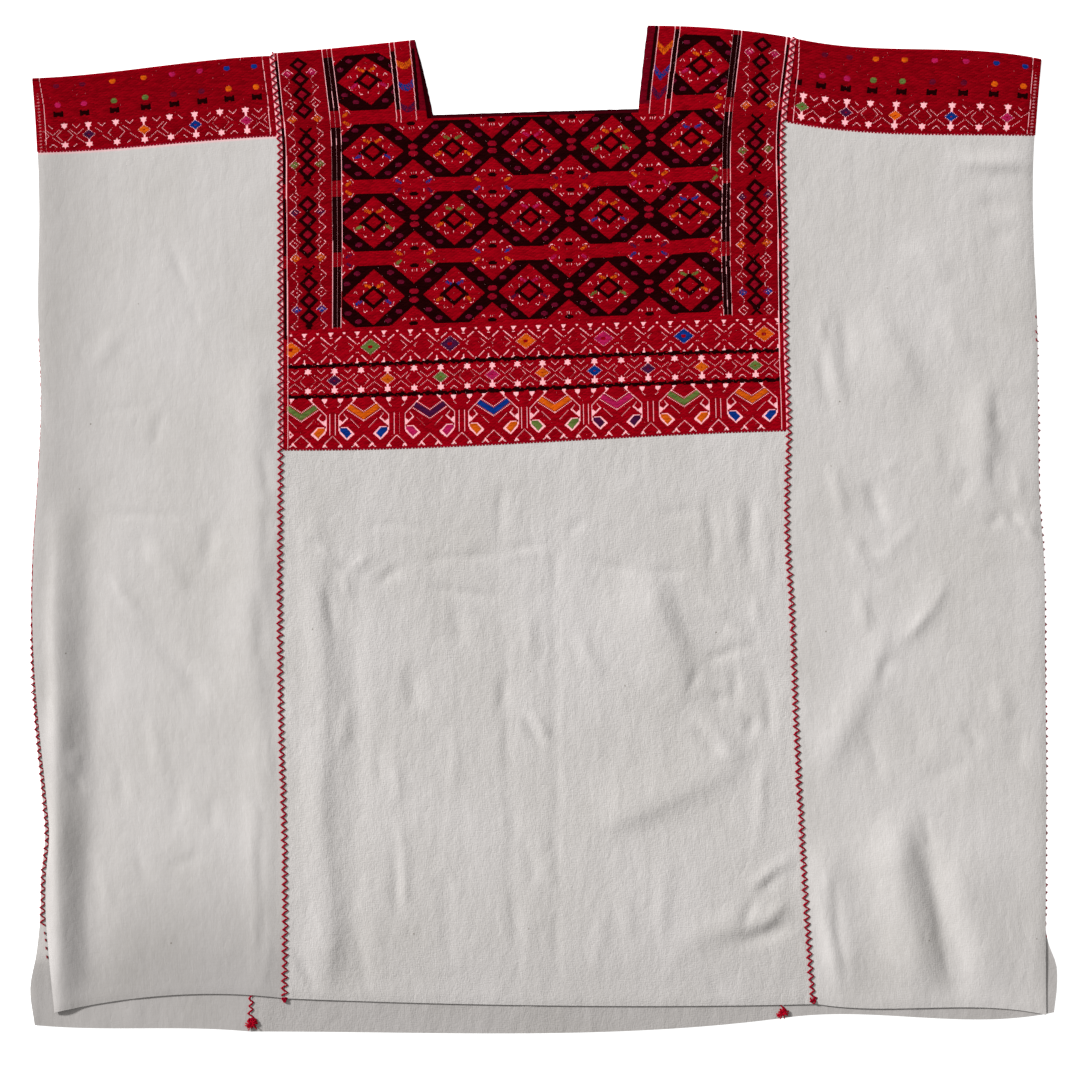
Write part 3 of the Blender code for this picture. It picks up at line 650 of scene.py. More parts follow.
# a band of stars and filled diamonds, whose ends are cut by the web's edges
def starBand(chart, columns, top, bottom, fills, firstFilled, size=1.0, lost=0.0):
    def thin(points, width=0.6):    # a thin line, unless it is one of those lost in the red
        if patchy.random() >= lost:
            line(chart, "ground", points, width)

    y = (top + bottom) / 2
    for i, x in enumerate(columns):
        filled = i % 2 == firstFilled and 0 < i < len(columns) - 1
        if filled:
            line(chart, "ground", [(x, top), (x, bottom)], 2.4)
            diamond(chart, "ground", x, y, 8.2 * size, 6.1 * size)
            diamond(chart, fills[(i - 1) // 2], x, y, 7.3 * size, 5.2 * size)
            dot(chart, "red", x, y, 0.9, 0.7)
        else:
            for side in (-1, 1):
                thin(turned(side, x, y, [(3.4, -5.0), (8.2, 0), (3.0, 5.4)]))
        star(chart, x, top)
        star(chart, x, bottom)
    for x0, x1 in zip(columns, columns[1:]):
        x = (x0 + x1) / 2
        for side in (-1, 1):
            thin([(x, y - 0.8), (x + side * 7.4, y - 6.4)])
            thin([(x, y - 7.6), (x + side * 3.6, y - 10.6)], 0.8)
            thin([(x, y + 2.2), (x + side * 8.0, y + 8.2)])
            thin([(x, y + 8.6), (x + side * 3.8, y + 11.8)], 0.8)


hookStrokes = [(1.1, [(10.8, 5.6), (24.9, 18.8)]), (1.0, [(24.9, 18.8), (24.9, 34.0)]),
               (1.7, [(24.3, 29.0), (16.4, 21.9)]), (1.0, [(16.4, 21.9), (19.6, 18.1)])]
hookFoot = [(24.9, 32.3), (24.5, 36.3), (16.8, 43.8), (9.0, 37.4), (15.7, 30.9), (23.0, 30.8)]
hookFill = [(23.6, 31.2), (17.6, 31.0), (12.4, 36.9), (17.0, 41.4), (23.6, 34.0)]
chevron = [(0, 17.0), (13.4, 8.4), (16.6, 12.2), (0, 23.4), (-16.6, 12.2), (-13.4, 8.4)]
bandBud = [(11.0, 2.2), (5.2, 2.2), (5.6, 5.4), (8.0, 7.4), (10.4, 4.8)]
bandSpur = [(7.6, 46.4), (4.6, 51.0), (7.4, 49.8), (10.8, 50.6), (9.4, 48.0)]
archFoot = [(8.5, 45.0), (4.2, 50.4), (6.4, 50.0), (8.6, 48.6), (11.6, 50.8), (12.4, 50.0), (9.8, 47.6)]


def paintBandC(chart):
    top = bandB["bottomLine"]
    for i, (x, yarn, foot) in enumerate(bandC["motifs"]):
        for side in (-1, 1):
            if i or side > 0:    # the first motif is cut by the edge
                strokes(chart, x, top, hookStrokes, (side,))
                shape(chart, "ground", turned(side, x, top, [(24.9, 22.5), (20.6, 25.6), (24.9, 29.5)]))
                shape(chart, "ground", turned(side, x, top, hookFoot))
                shape(chart, foot, turned(side, x, top, hookFill))
            shape(chart, "ground", turned(side, x, top, [(11.7, 1.9), (6.3, 1.9), (10.6, 6.4)]))
            shape(chart, "ground", turned(side, x, top, archFoot))
        strokes(chart, x, top, [(0.8, [(12.6, 7.4), (0, 15.8)]), (0.9, [(16.8, 13.6), (0, 24.6)]),
                                (0.6, [(13.0, 22.8), (4.3, 31.6)]), (0.9, [(0, 38.7), (9.5, 47.2)])])
        shape(chart, yarn, turned(1, x, top, chevron))
    shape(chart, "ground", [(8.0, top + 33.0), (13.0, top + 37.8), (8.4, top + 42.6)])
    dot(chart, "red", 9.8, top + 37.6, 1.0, 0.9)
    for (x0, _, _), (x1, _, _) in zip(bandC["motifs"], bandC["motifs"][1:]):
        x = (x0 + x1) / 2
        strokes(chart, x, top, [(0.9, [(2.7, 17.4), (2.7, 37.7)]), (0.8, [(7.8, 9.0), (5.2, 11.2)]),
                                (0.9, [(0, 39.2), (8.0, 47.0)])])
        for side in (-1, 1):
            for points in (bandBud, bandSpur):
                shape(chart, "ground", turned(side, x, top, points))


def scallop(chart, left, right, y):    # the small bumps where the pattern wefts turn back
    def inside(u, v):
        return v - y <= 1.6 * abs(np.sin(math.pi * u / 3.2)) - 0.4

    paint(chart, "ground", left, y - 1, right, y + 4)
    paint(chart, "darkRed", left, y - 1, right, y + 2, inside)


strapStrips = (    # narrow strips beside the neck: white lines, and chevrons across the widest strip
    {"lines": (((123.6, 0), (119.6, 80)), ((128.7, 0), (124.0, 81)), ((144.8, 0), (139.7, 79))),
     "black": (8, 68), "edge": 150.6,
     "chevrons": (("orange", 25.0), ("blue", 46.6), ("purple", 68.0)), "sag": 5.0},
    {"lines": (((394.4, 0), (393.2, 80)), ((389.7, 0), (387.8, 81)), ((373.2, 0), (372.3, 79))),
     "black": (1, 66), "edge": 362.0,
     "chevrons": (("orange", 23.4), ("blue", 46.0), ("purple", 64.0)), "sag": 8.5},
)


def paintStrap(chart, strap):
    outer, middle, inner = strap["lines"]
    bottom = outer[1][1]
    side = 1 if inner[0][0] > outer[0][0] else -1
    edge = strap["edge"]
    shape(chart, "red", [(outer[0][0], 0), (edge, 0), (edge, bottom), (outer[1][0], bottom)])
    shape(chart, "maroon", [(inner[0][0], 0), (edge, 0), (edge, 70), (inner[1][0], 70)])
    top, end = strap["black"]
    shape(chart, "black", [(along(outer, top), top), (along(middle, top), top), (along(middle, end), end),
                           (along(outer, end), end)])
    for yarn, row in strap["chevrons"]:
        left, right = sorted((along(middle, row), along(inner, row)))
        centre, half = (left + right) / 2, (right - left) / 2

        def inside(u, v):
            droop = strap["sag"] * (1 - np.minimum(abs(u - centre) / half, 1) ** (1.0 if side < 0 else 1.8))
            return abs(v - (row - strap["sag"] + droop)) <= 3.3

        paint(chart, yarn, left, row - strap["sag"] - 4, right, row + 4, inside)
    line(chart, "black", [(inner[0][0] + side * 2.4, top), (along(inner, end) + side * 2.4, end)], 3.0)
    for points in strap["lines"]:
        line(chart, "ground", list(points), 1.0)


def bareEdge(chart, left, right):    # plain cloth beside a join, under its stitches
    paint(chart, "ground", left, 0, right, chart.shape[0])


# ground lines beside the joins: how far across they lie at some rows, and the side of their broken black line
joinLines = ((((5.6, 0), (5.6, 71), (6.2, 113), (6.9, 300), (6.9, 402)), -1),
             (((501.8, 0), (502.2, 151), (501.2, 300), (501.0, 402)), 1))


def yokeChart():
    chart = newChart(yokeWide, yokeHigh)
    bandsTop = bandA["top"]
    paint(chart, "red", 0, 0, yokeWide, yokeHigh)
    paintField(chart, 61.0, 448.5, bandsTop)
    paint(chart, "deepRed", 0, 0, 61.5, bandsTop)
    paint(chart, "deepRed", 448, 0, yokeWide, bandsTop)
    for strap in strapStrips:
        paintStrap(chart, strap)
    for stripes in stripeSets:
        paintStripes(chart, stripes)
    for chain in chains:
        paintChain(chart, chain)
    paint(chart, "red", 8, bandsTop - 0.5, 500, yokeHigh)
    columns = [bandColumn(i) for i in range(-1, 20)]
    paintBandA(chart)
    starBand(chart, columns, bandB["topStars"], bandB["bottomStars"], bandB["fills"], 0)
    paintBandC(chart)
    for course in (bandB["topLine"], bandB["bottomLine"]):
        blackCourse(chart, 7, 501, course, columns[1:])
    paint(chart, "red", 0, bandsTop, 6.2, yokeHigh)
    paint(chart, "red", 501.4, bandsTop, yokeWide, yokeHigh)
    for points, side in joinLines:
        for top, bottom in ((8, 66), (82, 137), (153, 208), (222, 290)):
            ends = [(along(points, row) + side * 1.9, row) for row in (top, bottom)]
            line(chart, "black", ends, 2.5)
        line(chart, "ground", list(points), 1.2)
    scallop(chart, 0, yokeWide, yokeHigh - 2.0)
    bareEdge(chart, 0, 2.5)
    bareEdge(chart, 505.4, yokeWide)
    return chart


# Bands of the side webs: where the columns of bows and of stars stand across the web, and their colours.
sideBands = {
    "left_web": {
        "bow": (23.0, 49.2, 79.3, 110.6, 139.1, 166.9, 194.0, 221.5),
        "stars": (4.0, 28.0, 52.0, 79.4, 107.0, 133.0, 158.0, 183.2, 208.7, 234.4),
        "fills": ("purple", "orange", "blue", "magenta"), "firstFilled": 0,
        "end": 78.0, "shift": 0.0,
        "spots": ("wine", "wine", "orange", "orange", "magenta", "magenta", "blue", "blue"),
        "lower": ("magenta", "magenta", "green", "green", "wine", "wine", "orange", "orange"),
        "lines": (((6.5, 0), (8.9, 29), (9.1, 51), (8.7, 76)), ((230.2, 0), (231.9, 40), (231.3, 77))),
        "bare": (237.4, 240)},
    "right_web": {
        "bow": (8.7, 31.8, 55.6, 81.0, 109.0, 138.0, 168.2, 197.7, 225.6),
        "stars": (-4.6, 16.2, 37.0, 58.0, 80.5, 105.2, 131.5, 158.8, 185.8, 212.4, 239.0),
        "fills": ("green", "purple", "orange", "blue", "magenta"), "firstFilled": 1,
        "end": 79.6, "shift": 1.0,
        "spots": ("", "wine", "wine", "orange", "orange", "magenta", "magenta", "blue", "blue"),
        "lower": ("", "magenta", "magenta", "green", "green", "wine", "wine", "orange", "orange"),
        "lines": (((5.7, 0), (8.6, 32), (8.9, 78)), ((232.6, 0), (233.4, 49), (232.6, 78))),
        "bare": (0, 2.6)},
}


def bandChart(band):
    chart = newChart(bandWide, bandHigh)
    paint(chart, "deepRed", 0, 0, bandWide, bandHigh)
    shift = band["shift"]
    for x, spot, lower in zip(band["bow"], band["spots"], band["lower"]):
        if spot:
            dot(chart, spot, x, 8.2 + shift, 3.2, 2.7)
            dot(chart, lower, x, 29.6 + shift, 3.2, 2.6)
        for side in (-1, 1):
            bow = turned(side, x, 39.2 + shift, [(0, -2.1), (4.9, -3.1), (4.9, 3.1), (0, 2.1)])
            shape(chart, "black", bow)
    starBand(chart, band["stars"], 51.5 + shift, 71.0 + shift * 1.3, band["fills"], band["firstFilled"],
             size=0.86, lost=0.3)
    first, last = (np.mean([x for x, _ in points]) for points in band["lines"])
    paint(chart, "deepRed", 0, 0, first - 1.4, bandHigh)
    paint(chart, "deepRed", last + 1.4, 0, bandWide, bandHigh)
    for points in band["lines"]:
        line(chart, "ground", list(points), 0.9)
    scallop(chart, 0, bandWide, band["end"] - 0.8)
    bareEdge(chart, *band["bare"])
    return chart


# ---- materials
def linear(hexColour):    # an sRGB hex colour as linear red, green, blue and alpha
    parts = [int(hexColour[i:i + 2], 16) / 255 for i in (1, 3, 5)]
    return [c / 12.92 if c <= 0.04045 else ((c + 0.055) / 1.055) ** 2.4 for c in parts] + [1.0]


def addNode(tree, kind, settings=None, inputs=None):    # inputs: a value, or another node's output to link
    node = tree.nodes.new(kind)
    for key, value in (settings or {}).items():
        setattr(node, key, value)
    for key, value in (inputs or {}).items():
        socket = node.inputs[key]
        if isinstance(value, bpy.types.NodeSocket):
            tree.links.new(value, socket)
        else:
            socket.default_value = value
    return node


def newMaterial(name, settings):
    material = bpy.data.materials.new(name)
    material.use_nodes = True
    tree = material.node_tree
    tree.nodes.clear()
    surface = addNode(tree, "ShaderNodeBsdfPrincipled", inputs=settings)
    addNode(tree, "ShaderNodeOutputMaterial", inputs={"Surface": surface.outputs["BSDF"]})
    return material, tree, surface


# settings of the nodes that are used most
add, multiply, multiplyAdd = {"operation": "ADD"}, {"operation": "MULTIPLY"}, {"operation": "MULTIPLY_ADD"}
mix = {"data_type": "RGBA", "blend_type": "MIX"}


def threadNoise(tree, threads, scale, detail=2.0):    # its scale differs across and along the warp
    mapped = addNode(tree, "ShaderNodeVectorMath", multiply, {0: threads, 1: scale})
    return addNode(tree, "ShaderNodeTexNoise", inputs={
        "Vector": mapped.outputs[0], "Scale": 1.0, "Detail": detail, "Roughness": 0.55}).outputs["Fac"]


# Scales are per millimetre: yarns of 1 mm, twice as coarse as they are, so that they show, slubs 11 mm long, a
# fleck of seed about every 30 mm, and crumples of 20 to 60 mm.
# the multiplied grey after underYarn is painted shade, for cloth that lies in shadow
cotton = {"thread": "#b1adab", "shade": "#a6a29e", "slub": "#bcb9b7", "fleck": "#6a6258",
          "underYarn": "#e4a2a8", "paintedShading": (0.74, 0.735, 0.735, 1.0),
          "slubScale": (0.8, 0.09, 1.0), "weftScale": (0.06, 0.8, 1.0), "washScale": (0.011, 0.008, 1.0),
          "drapeScale": (0.05, 0.016, 1.0), "crumpleScale": (0.05, 0.03, 1.0), "fleckScale": 0.034,
          "warpBump": (1.1, 0.3, 1.0), "weftBump": (0.3, 1.1, 1.0), "bumpDepth": 0.00022}


def cottonMaterial():    # hand-woven plain cotton: matt greyish white, slubs down the warp, a few flecks
    material, tree, surface = newMaterial("handWovenCotton", {
        "Roughness": 0.95, "Specular IOR Level": 0.15, "Sheen Weight": 0.1, "Sheen Roughness": 0.6})
    threads = addNode(tree, "ShaderNodeAttribute", {"attribute_name": "threads"}).outputs["Vector"]
    under, paintedShade, coarse = (addNode(tree, "ShaderNodeAttribute", {"attribute_name": name}).outputs["Fac"]
                           for name in ("underYarn", "paintedShade", "coarse"))
    warp = threadNoise(tree, threads, cotton["slubScale"], 4.0)
    weft = threadNoise(tree, threads, cotton["weftScale"])
    wash = threadNoise(tree, threads, cotton["washScale"], 3.0)
    washed = addNode(tree, "ShaderNodeMath", {**multiplyAdd, "use_clamp": True}, {0: wash, 1: 2.2, 2: -0.6})
    colour = addNode(tree, "ShaderNodeMix", mix, {
        0: washed.outputs[0], 6: linear(cotton["thread"]), 7: linear(cotton["shade"])}).outputs[2]
    weft = addNode(tree, "ShaderNodeMath", multiply, {0: weft, 1: 0.25}).outputs[0]
    tone = addNode(tree, "ShaderNodeMath", multiplyAdd, {0: warp, 1: 0.75, 2: weft}).outputs[0]
    slubs = addNode(tree, "ShaderNodeMapRange", inputs={"Value": tone, "From Min": 0.42, "From Max": 0.66})
    slubs = addNode(tree, "ShaderNodeMath", multiply, {0: slubs.outputs[0], 1: 0.3}).outputs[0]
    spots = addNode(tree, "ShaderNodeTexVoronoi", {"feature": "F1"}, {
        "Vector": threads, "Scale": cotton["fleckScale"]}).outputs["Distance"]
    flecks = addNode(tree, "ShaderNodeMapRange", inputs={
        "Value": spots, "From Min": 0.016, "From Max": 0.03, "To Min": 0.75, "To Max": 0.0}).outputs[0]
    for factor, name in ((slubs, "slub"), (flecks, "fleck"), (under, "underYarn")):
        colour = addNode(tree, "ShaderNodeMix", mix, {
            0: factor, 6: colour, 7: linear(cotton[name])}).outputs[2]
    # painted shade: a grey multiplied in where the attribute asks, darkening cloth that lies in shadow
    colour = addNode(tree, "ShaderNodeMix", {**mix, "blend_type": "MULTIPLY"}, {
        0: paintedShade, 6: colour, 7: cotton["paintedShading"]}).outputs[2]
    tree.links.new(colour, surface.inputs["Base Color"])
    drape = threadNoise(tree, threads, cotton["drapeScale"])    # shallow unevenness of washed cloth
    warp = threadNoise(tree, threads, cotton["warpBump"])
    weft = threadNoise(tree, threads, cotton["weftBump"])
    crumple = threadNoise(tree, threads, cotton["crumpleScale"], 3.0)    # and its soft crumples
    ridge = addNode(tree, "ShaderNodeMath", {"operation": "SUBTRACT"}, {0: crumple, 1: 0.5}).outputs[0]
    ridge = addNode(tree, "ShaderNodeMath", {"operation": "ABSOLUTE"}, {0: ridge}).outputs[0]
    weave = addNode(tree, "ShaderNodeMath", add, {0: warp, 1: weft}).outputs[0]
    weave = addNode(tree, "ShaderNodeMath", multiply, {0: weave, 1: coarse}).outputs[0]
    height = addNode(tree, "ShaderNodeMath", multiplyAdd, {0: ridge, 1: 7.0, 2: weave}).outputs[0]
    height = addNode(tree, "ShaderNodeMath", multiplyAdd, {0: drape, 1: 5.0, 2: height}).outputs[0]
    height = addNode(tree, "ShaderNodeMath", multiply, {0: height, 1: coarse}).outputs[0]
    bump = addNode(tree, "ShaderNodeBump", inputs={
        "Strength": 0.6, "Distance": cotton["bumpDepth"], "Height": height})
    tree.links.new(bump.outputs[0], surface.inputs["Normal"])
    return material


yarnColours = {    # dyed cotton yarn of the pattern wefts
    "red": "#8c0210", "black": "#1c0304", "orange": "#c8540c", "blue": "#0c2e78", "green": "#5c6c34",
    "magenta": "#a8184c", "purple": "#401034", "wine": "#5e0c24", "maroon": "#640414", "darkRed": "#84081c",
    "deepRed": "#80020e",
}


def yarnMaterial(name, colour):    # soft twisted cotton yarn: matt, each float dyed a little differently
    material, tree, surface = newMaterial(name, {"Roughness": 0.95, "Specular IOR Level": 0.0})
    shade = addNode(tree, "ShaderNodeAttribute", {"attribute_name": "yarnShade"}).outputs["Fac"]
    place = addNode(tree, "ShaderNodeTexCoord").outputs["Object"]
    patch = addNode(tree, "ShaderNodeTexNoise", inputs={    # dye takes unevenly over about 17 mm
        "Vector": place, "Scale": 60.0, "Detail": 1.0}).outputs["Fac"]
    value = addNode(tree, "ShaderNodeMath", multiplyAdd, {0: shade, 1: 0.4, 2: 0.46}).outputs[0]
    value = addNode(tree, "ShaderNodeMath", multiplyAdd, {0: patch, 1: 0.16, 2: value}).outputs[0]
    tinted = addNode(tree, "ShaderNodeHueSaturation", inputs={"Color": linear(colour), "Value": value})
    tree.links.new(tinted.outputs[0], surface.inputs["Base Color"])
    return material


cottonCloth = cottonMaterial()
yarnMaterials = [yarnMaterial(name + "CottonYarn", yarnColours[name]) for name in list(yarns)[1:]]
reverseYarn = yarnMaterial("brocadeReverse", "#4c0410")    # inside of the brocade: dark wefts carried across
joinThread = yarnMaterial("redJoinThread", "#a80a28")
looseEnds = yarnMaterial("redThreadEnds", "#b80c26")
neckThread = yarnMaterial("darkNeckThread", "#3c0410")
print("materials made")


# ---- meshes
def newPiece(name, points, faces, materials, uvs=None, slots=None, smooth=True):
    mesh = bpy.data.meshes.new(name)
    mesh.vertices.add(len(points))
    mesh.vertices.foreach_set("co", (points * mm).astype(np.float32).ravel())
    corners = faces.shape[1]
    mesh.loops.add(faces.size)
    mesh.loops.foreach_set("vertex_index", faces.astype(np.int32).ravel())
    mesh.polygons.add(len(faces))
    mesh.polygons.foreach_set("loop_start", np.arange(0, faces.size, corners, dtype=np.int32))
    for material in materials:
        mesh.materials.append(material)
    if slots is not None:
        mesh.polygons.foreach_set("material_index", slots.astype(np.int32))
    mesh.update(calc_edges=True)
    if smooth:
        mesh.shade_smooth()
    if uvs is not None:
        mesh.uv_layers.new(name="OFBake").data.foreach_set("uv", uvs.astype(np.float32).ravel())
    piece = bpy.data.objects.new(name, mesh)
    bpy.context.scene.collection.objects.link(piece)
    return piece


def setAttribute(piece, name, kind, domain, values):
    field = "vector" if kind == "FLOAT_VECTOR" else "value"
    layer = piece.data.attributes.new(name, kind, domain)
    layer.data.foreach_set(field, np.asarray(values, np.float32).ravel())


def steps(stops, cells):    # values from the first stop to the last, with one at each stop
    values = [stops[0]]
    for start, end, cell in zip(stops, stops[1:], cells):
        values += list(np.linspace(start, end, max(1, round(abs(end - start) / cell)) + 1)[1:])
    return np.array(values)


# the two lengths before sharpAngle are how far painted shade reaches in from the outer edge and up from the
# hem
shell = {"cell": 3.0, "backCell": 9.0, "foldSteps": 8, "backRecess": 0.35, "recessEase": 5.0,
         "paintedShadeSide": 80, "paintedShadeHem": 150, "sharpAngle": 50}


def outerLift(web, along):    # the back's cloth lies deeper under its brocade, which is flush with it
    beyond = -along - foldHalf
    deep = ease((beyond + 4.0) / 4.0) * ease((web["brocadeEnd"] - beyond) / shell["recessEase"] + 1)
    return cloth["wall"] - shell["backRecess"] * deep


def addShell(name, web):
    frontEnd, backEnd = web["front"][2]["down"][-1], web["back"][2]["down"][-1]
    brocadeEnd = web["brocadeEnd"]
    cell, places = shell["cell"], (0.0, *web["shares"], 1.0)
    shares = steps(places, [cell / web["width"]] * 3)
    neckFront, neckBack = web["neck"] or (0, 0)
    stops = [-backEnd, -backEnd + 120, -brocadeEnd - 6, -brocadeEnd, -neckBack, 0.0]
    cells = [6.0, shell["backCell"], 3.0, shell["backCell"], cell, cell]
    if not web["neck"]:
        del stops[4], cells[4]
    down = steps(stops, cells) - foldHalf
    over = np.linspace(-foldHalf, foldHalf, shell["foldSteps"] + 1)[1:-1]
    up = steps([0.0, neckFront, frontEnd] if web["neck"] else [0.0, frontEnd], [cell, cell]) + foldHalf
    alongs = np.concatenate([down, over, up])
    share, along = np.meshgrid(shares, alongs)
    outer = clothPoint(web, share, along, outerLift(web, along))
    inner = clothPoint(web, share, along, 0.0)
    rows, columns = share.shape
    index = np.arange(rows * columns).reshape(rows, columns)
    quads = np.stack([index[:-1, :-1], index[1:, :-1], index[1:, 1:], index[:-1, 1:]], -1)
    midShare = (share[:-1, :-1] + share[1:, 1:]) / 2
    midAlong = (along[:-1, :-1] + along[1:, 1:]) / 2
    keep = np.ones(midShare.shape, bool)
    if web["neck"]:
        a, b = web["shares"]
        keep = ~((midShare > a) & (midShare < b)
                 & (midAlong > -neckBack - foldHalf) & (midAlong < neckFront + foldHalf))
    quads, midAlong = quads[keep], midAlong[keep]
    count = rows * columns    # the inner side's points follow the outer's, and a rim joins their open edges
    edges = np.stack([quads, np.roll(quads, -1, 1)], -1).reshape(-1, 2)
    owner = np.repeat(np.arange(len(quads)), 4)
    _, first, uses = np.unique(np.sort(edges, 1), axis=0, return_index=True, return_counts=True)
    border = first[uses == 1]
    a, b = edges[border, 0], edges[border, 1]
    rimFaces = np.stack([a, a + count, b + count, b], -1)
    faces = np.concatenate([quads, quads[:, ::-1] + count, rimFaces])
    length = alongs[-1] - alongs[0]
    flat = np.stack([share * 0.46 + 0.02, (along - alongs[0]) / length * 0.96 + 0.02], -1).reshape(-1, 2)
    outward = flat[edges[border]].mean(1) - flat[quads[owner[border]]].mean(1)
    outward = outward / np.linalg.norm(outward, axis=1, keepdims=True) * 0.006
    rimUv = np.stack([flat[a], flat[a] + outward, flat[b] + outward, flat[b]], 1)
    uvs = np.concatenate([flat[quads], flat[quads[:, ::-1]] + (0.5, 0.0), rimUv])
    brocaded = (abs(midAlong) < brocadeEnd + foldHalf).astype(int)
    slots = np.concatenate([np.zeros(len(quads), int), brocaded, brocaded[owner[border]]])
    points = np.concatenate([outer.reshape(-1, 3), inner.reshape(-1, 3)])
    used = np.zeros(len(points), bool)
    used[faces] = True
    renumber = np.cumsum(used) - 1
    piece = newPiece(f"{name}_cloth", points[used], renumber[faces], [cottonCloth, reverseYarn],
                     uvs.reshape(-1, 2), slots)
    piece.data.set_sharp_from_angle(angle=math.radians(shell["sharpAngle"]))
    threads = np.stack([share * web["width"], along, np.zeros(share.shape)], -1).reshape(-1, 3)
    threads = np.concatenate([threads, threads + 700])    # the inner side is uneven in its own way
    setAttribute(piece, "threads", "FLOAT_VECTOR", "POINT", threads[used])
    under = (abs(along) < brocadeEnd + foldHalf - 2).astype(float).reshape(-1)
    setAttribute(piece, "underYarn", "FLOAT", "POINT", np.concatenate([under, under])[used])
    # painted shade: darker towards the front's outer edge and its hem, and on the back's inside below the
    # front
    edge, hem = web["paintedShading"]
    frontShade = edge * (1 - ease(share * web["width"] / shell["paintedShadeSide"]))
    frontShade = np.maximum(frontShade, hem * (1 - ease((frontEnd + foldHalf - along) / shell["paintedShadeHem"])))
    inside = ease((-along - foldHalf - backEnd + 60) / 15)    # painted shadow of the front on the back's inside, where it shows below the front
    paintedShade = np.concatenate([np.where(along > 0, frontShade, 0).reshape(-1), inside.reshape(-1)])
    setAttribute(piece, "paintedShade", "FLOAT", "POINT", paintedShade[used])
    setAttribute(piece, "coarse", "FLOAT", "POINT", np.full(used.sum(), web["coarse"]))
    return piece


# ---- brocade: each run of one yarn in the chart is a raised float across the cloth, tied down now and then
floats = {"bed": 0.02, "rise": 0.3, "longest": 10, "step": 3, "taper": 0.5, "halfWidth": 0.46, "spread": 0.14,
          "backLongest": 60, "backProud": 0.15, "flecks": 0.0015, "edge": 0.5, "stray": 0.22, "worn": 0.12}
chooser = np.random.default_rng(7)


def yarnRuns(chart, longest):    # row, first column, end column and yarn of every float
    rows, columns = chart.shape
    starts = np.ones((rows, columns + 1), bool)
    starts[:, 1:-1] = chart[:, 1:] != chart[:, :-1]
    ties = (np.arange(columns) + (np.arange(rows) * floats["step"])[:, None]) % longest == 0
    starts[:, :-1] |= ties
    row, column = np.nonzero(starts)
    same = row[1:] == row[:-1]
    row, first, end = row[:-1][same], column[:-1][same], column[1:][same]
    yarn = chart[row, first]
    laid = yarn > 0
    return row[laid], first[laid], end[laid], yarn[laid]


def addFloats(name, web, chart, alongs, raised=True):    # a raised float is a small roof, the rest are flat
    row, first, end, yarn = yarnRuns(chart, floats["longest"] if raised else floats["backLongest"])
    width = chart.shape[1] / 2
    spread = floats["spread"] / web["width"]    # the yarn fills out a little beyond its own cells
    left, right = first / 2 / width - spread, end / 2 / width + spread
    if web["outer"]:    # at the outer edge the yarn turns round it
        left = np.where(first == 0, -floats["edge"] / web["width"], left)
        right = np.where(end == chart.shape[1], 1 + floats["edge"] / web["width"], right)
    middle, half = alongs[row], floats["halfWidth"]
    taper = np.minimum(floats["taper"] / web["width"], (right - left) * 0.3)
    share = np.stack([left, right, right, left, left + taper, right - taper], -1)
    along = np.stack([middle - half] * 2 + [middle + half] * 2 + [middle] * 2, -1)
    rise = np.stack([np.full(len(row), floats["bed"])] * 4 + [np.full(len(row), floats["rise"])] * 2, -1)
    roof = np.array(((0, 4, 5), (0, 5, 1), (3, 2, 5), (3, 5, 4), (0, 3, 4), (1, 5, 2)))
    corners = 6
    if not raised:
        share, along, rise = share[:, :4], along[:, :4], rise[:, :4]
        roof, corners = np.array(((0, 3, 2), (0, 2, 1))), 4
    lift = outerLift(web, along) + (0 if raised else floats["backProud"])
    least = -floats["edge"] / web["width"] if web["outer"] else 0.0
    points = clothPoint(web, np.clip(share, least, 1 - least), along, lift + rise).reshape(-1, 3)
    faces = (np.arange(len(row))[:, None, None] * corners + roof).reshape(-1, 3)
    low, high = alongs.min() - pick / 2, alongs.max() + pick / 2
    own = np.clip(along, middle[:, None] - pick / 2, middle[:, None] + pick / 2)
    across = np.clip(share, left[:, None] + spread, right[:, None] - spread)
    flat = np.stack([across, (own - low) / (high - low)], -1).reshape(-1, 2)
    yarnSlots = np.repeat(yarn - 1, len(roof))
    piece = newPiece(name, points, faces, yarnMaterials, flat[faces].reshape(-1, 2), yarnSlots)
    setAttribute(piece, "yarnShade", "FLOAT", "FACE", np.repeat(chooser.random(len(row)), len(roof)))
    return piece


foldRows = round(2 * foldHalf / pick)


def overShoulder(chart):    # the chart's first rows go on over the fold
    whole = np.concatenate([np.repeat(chart[:1], foldRows, 0), chart])
    return whole, (np.arange(-foldRows, len(chart)) + 0.5) * pick


yoke = yokeChart()
bands = {name: bandChart(band) for name, band in sideBands.items()}
for chart in (yoke, *bands.values()):    # a few ground threads show through
    chart[chooser.random(chart.shape) < floats["flecks"]] = 0
field = yoke[:fieldHigh]    # small coloured motifs of the field are uneven, with red between their threads
stray = np.isin(field, [yarns[name] for name in ("orange", "blue", "green", "magenta", "purple")])
field[stray & (chooser.random(field.shape) < floats["stray"])] = yarns["red"]
marks = field == 0    # and so are their small ground marks, but not the long lines
for first, last in ((0, 8), (47, 64), (446, 459), (499, yokeWide)):
    marks[:, first * 2:last * 2] = False
for first, last in ((117, 146), (371, 396)):
    marks[:84, first * 2:last * 2] = False
field[marks & (chooser.random(field.shape) < floats["worn"])] = yarns["red"]
neckLeft, neckRight = (round(share * yokeWide * 2) for share in webs["centre_web"]["shares"])
pieces = {name: [] for name in webs}

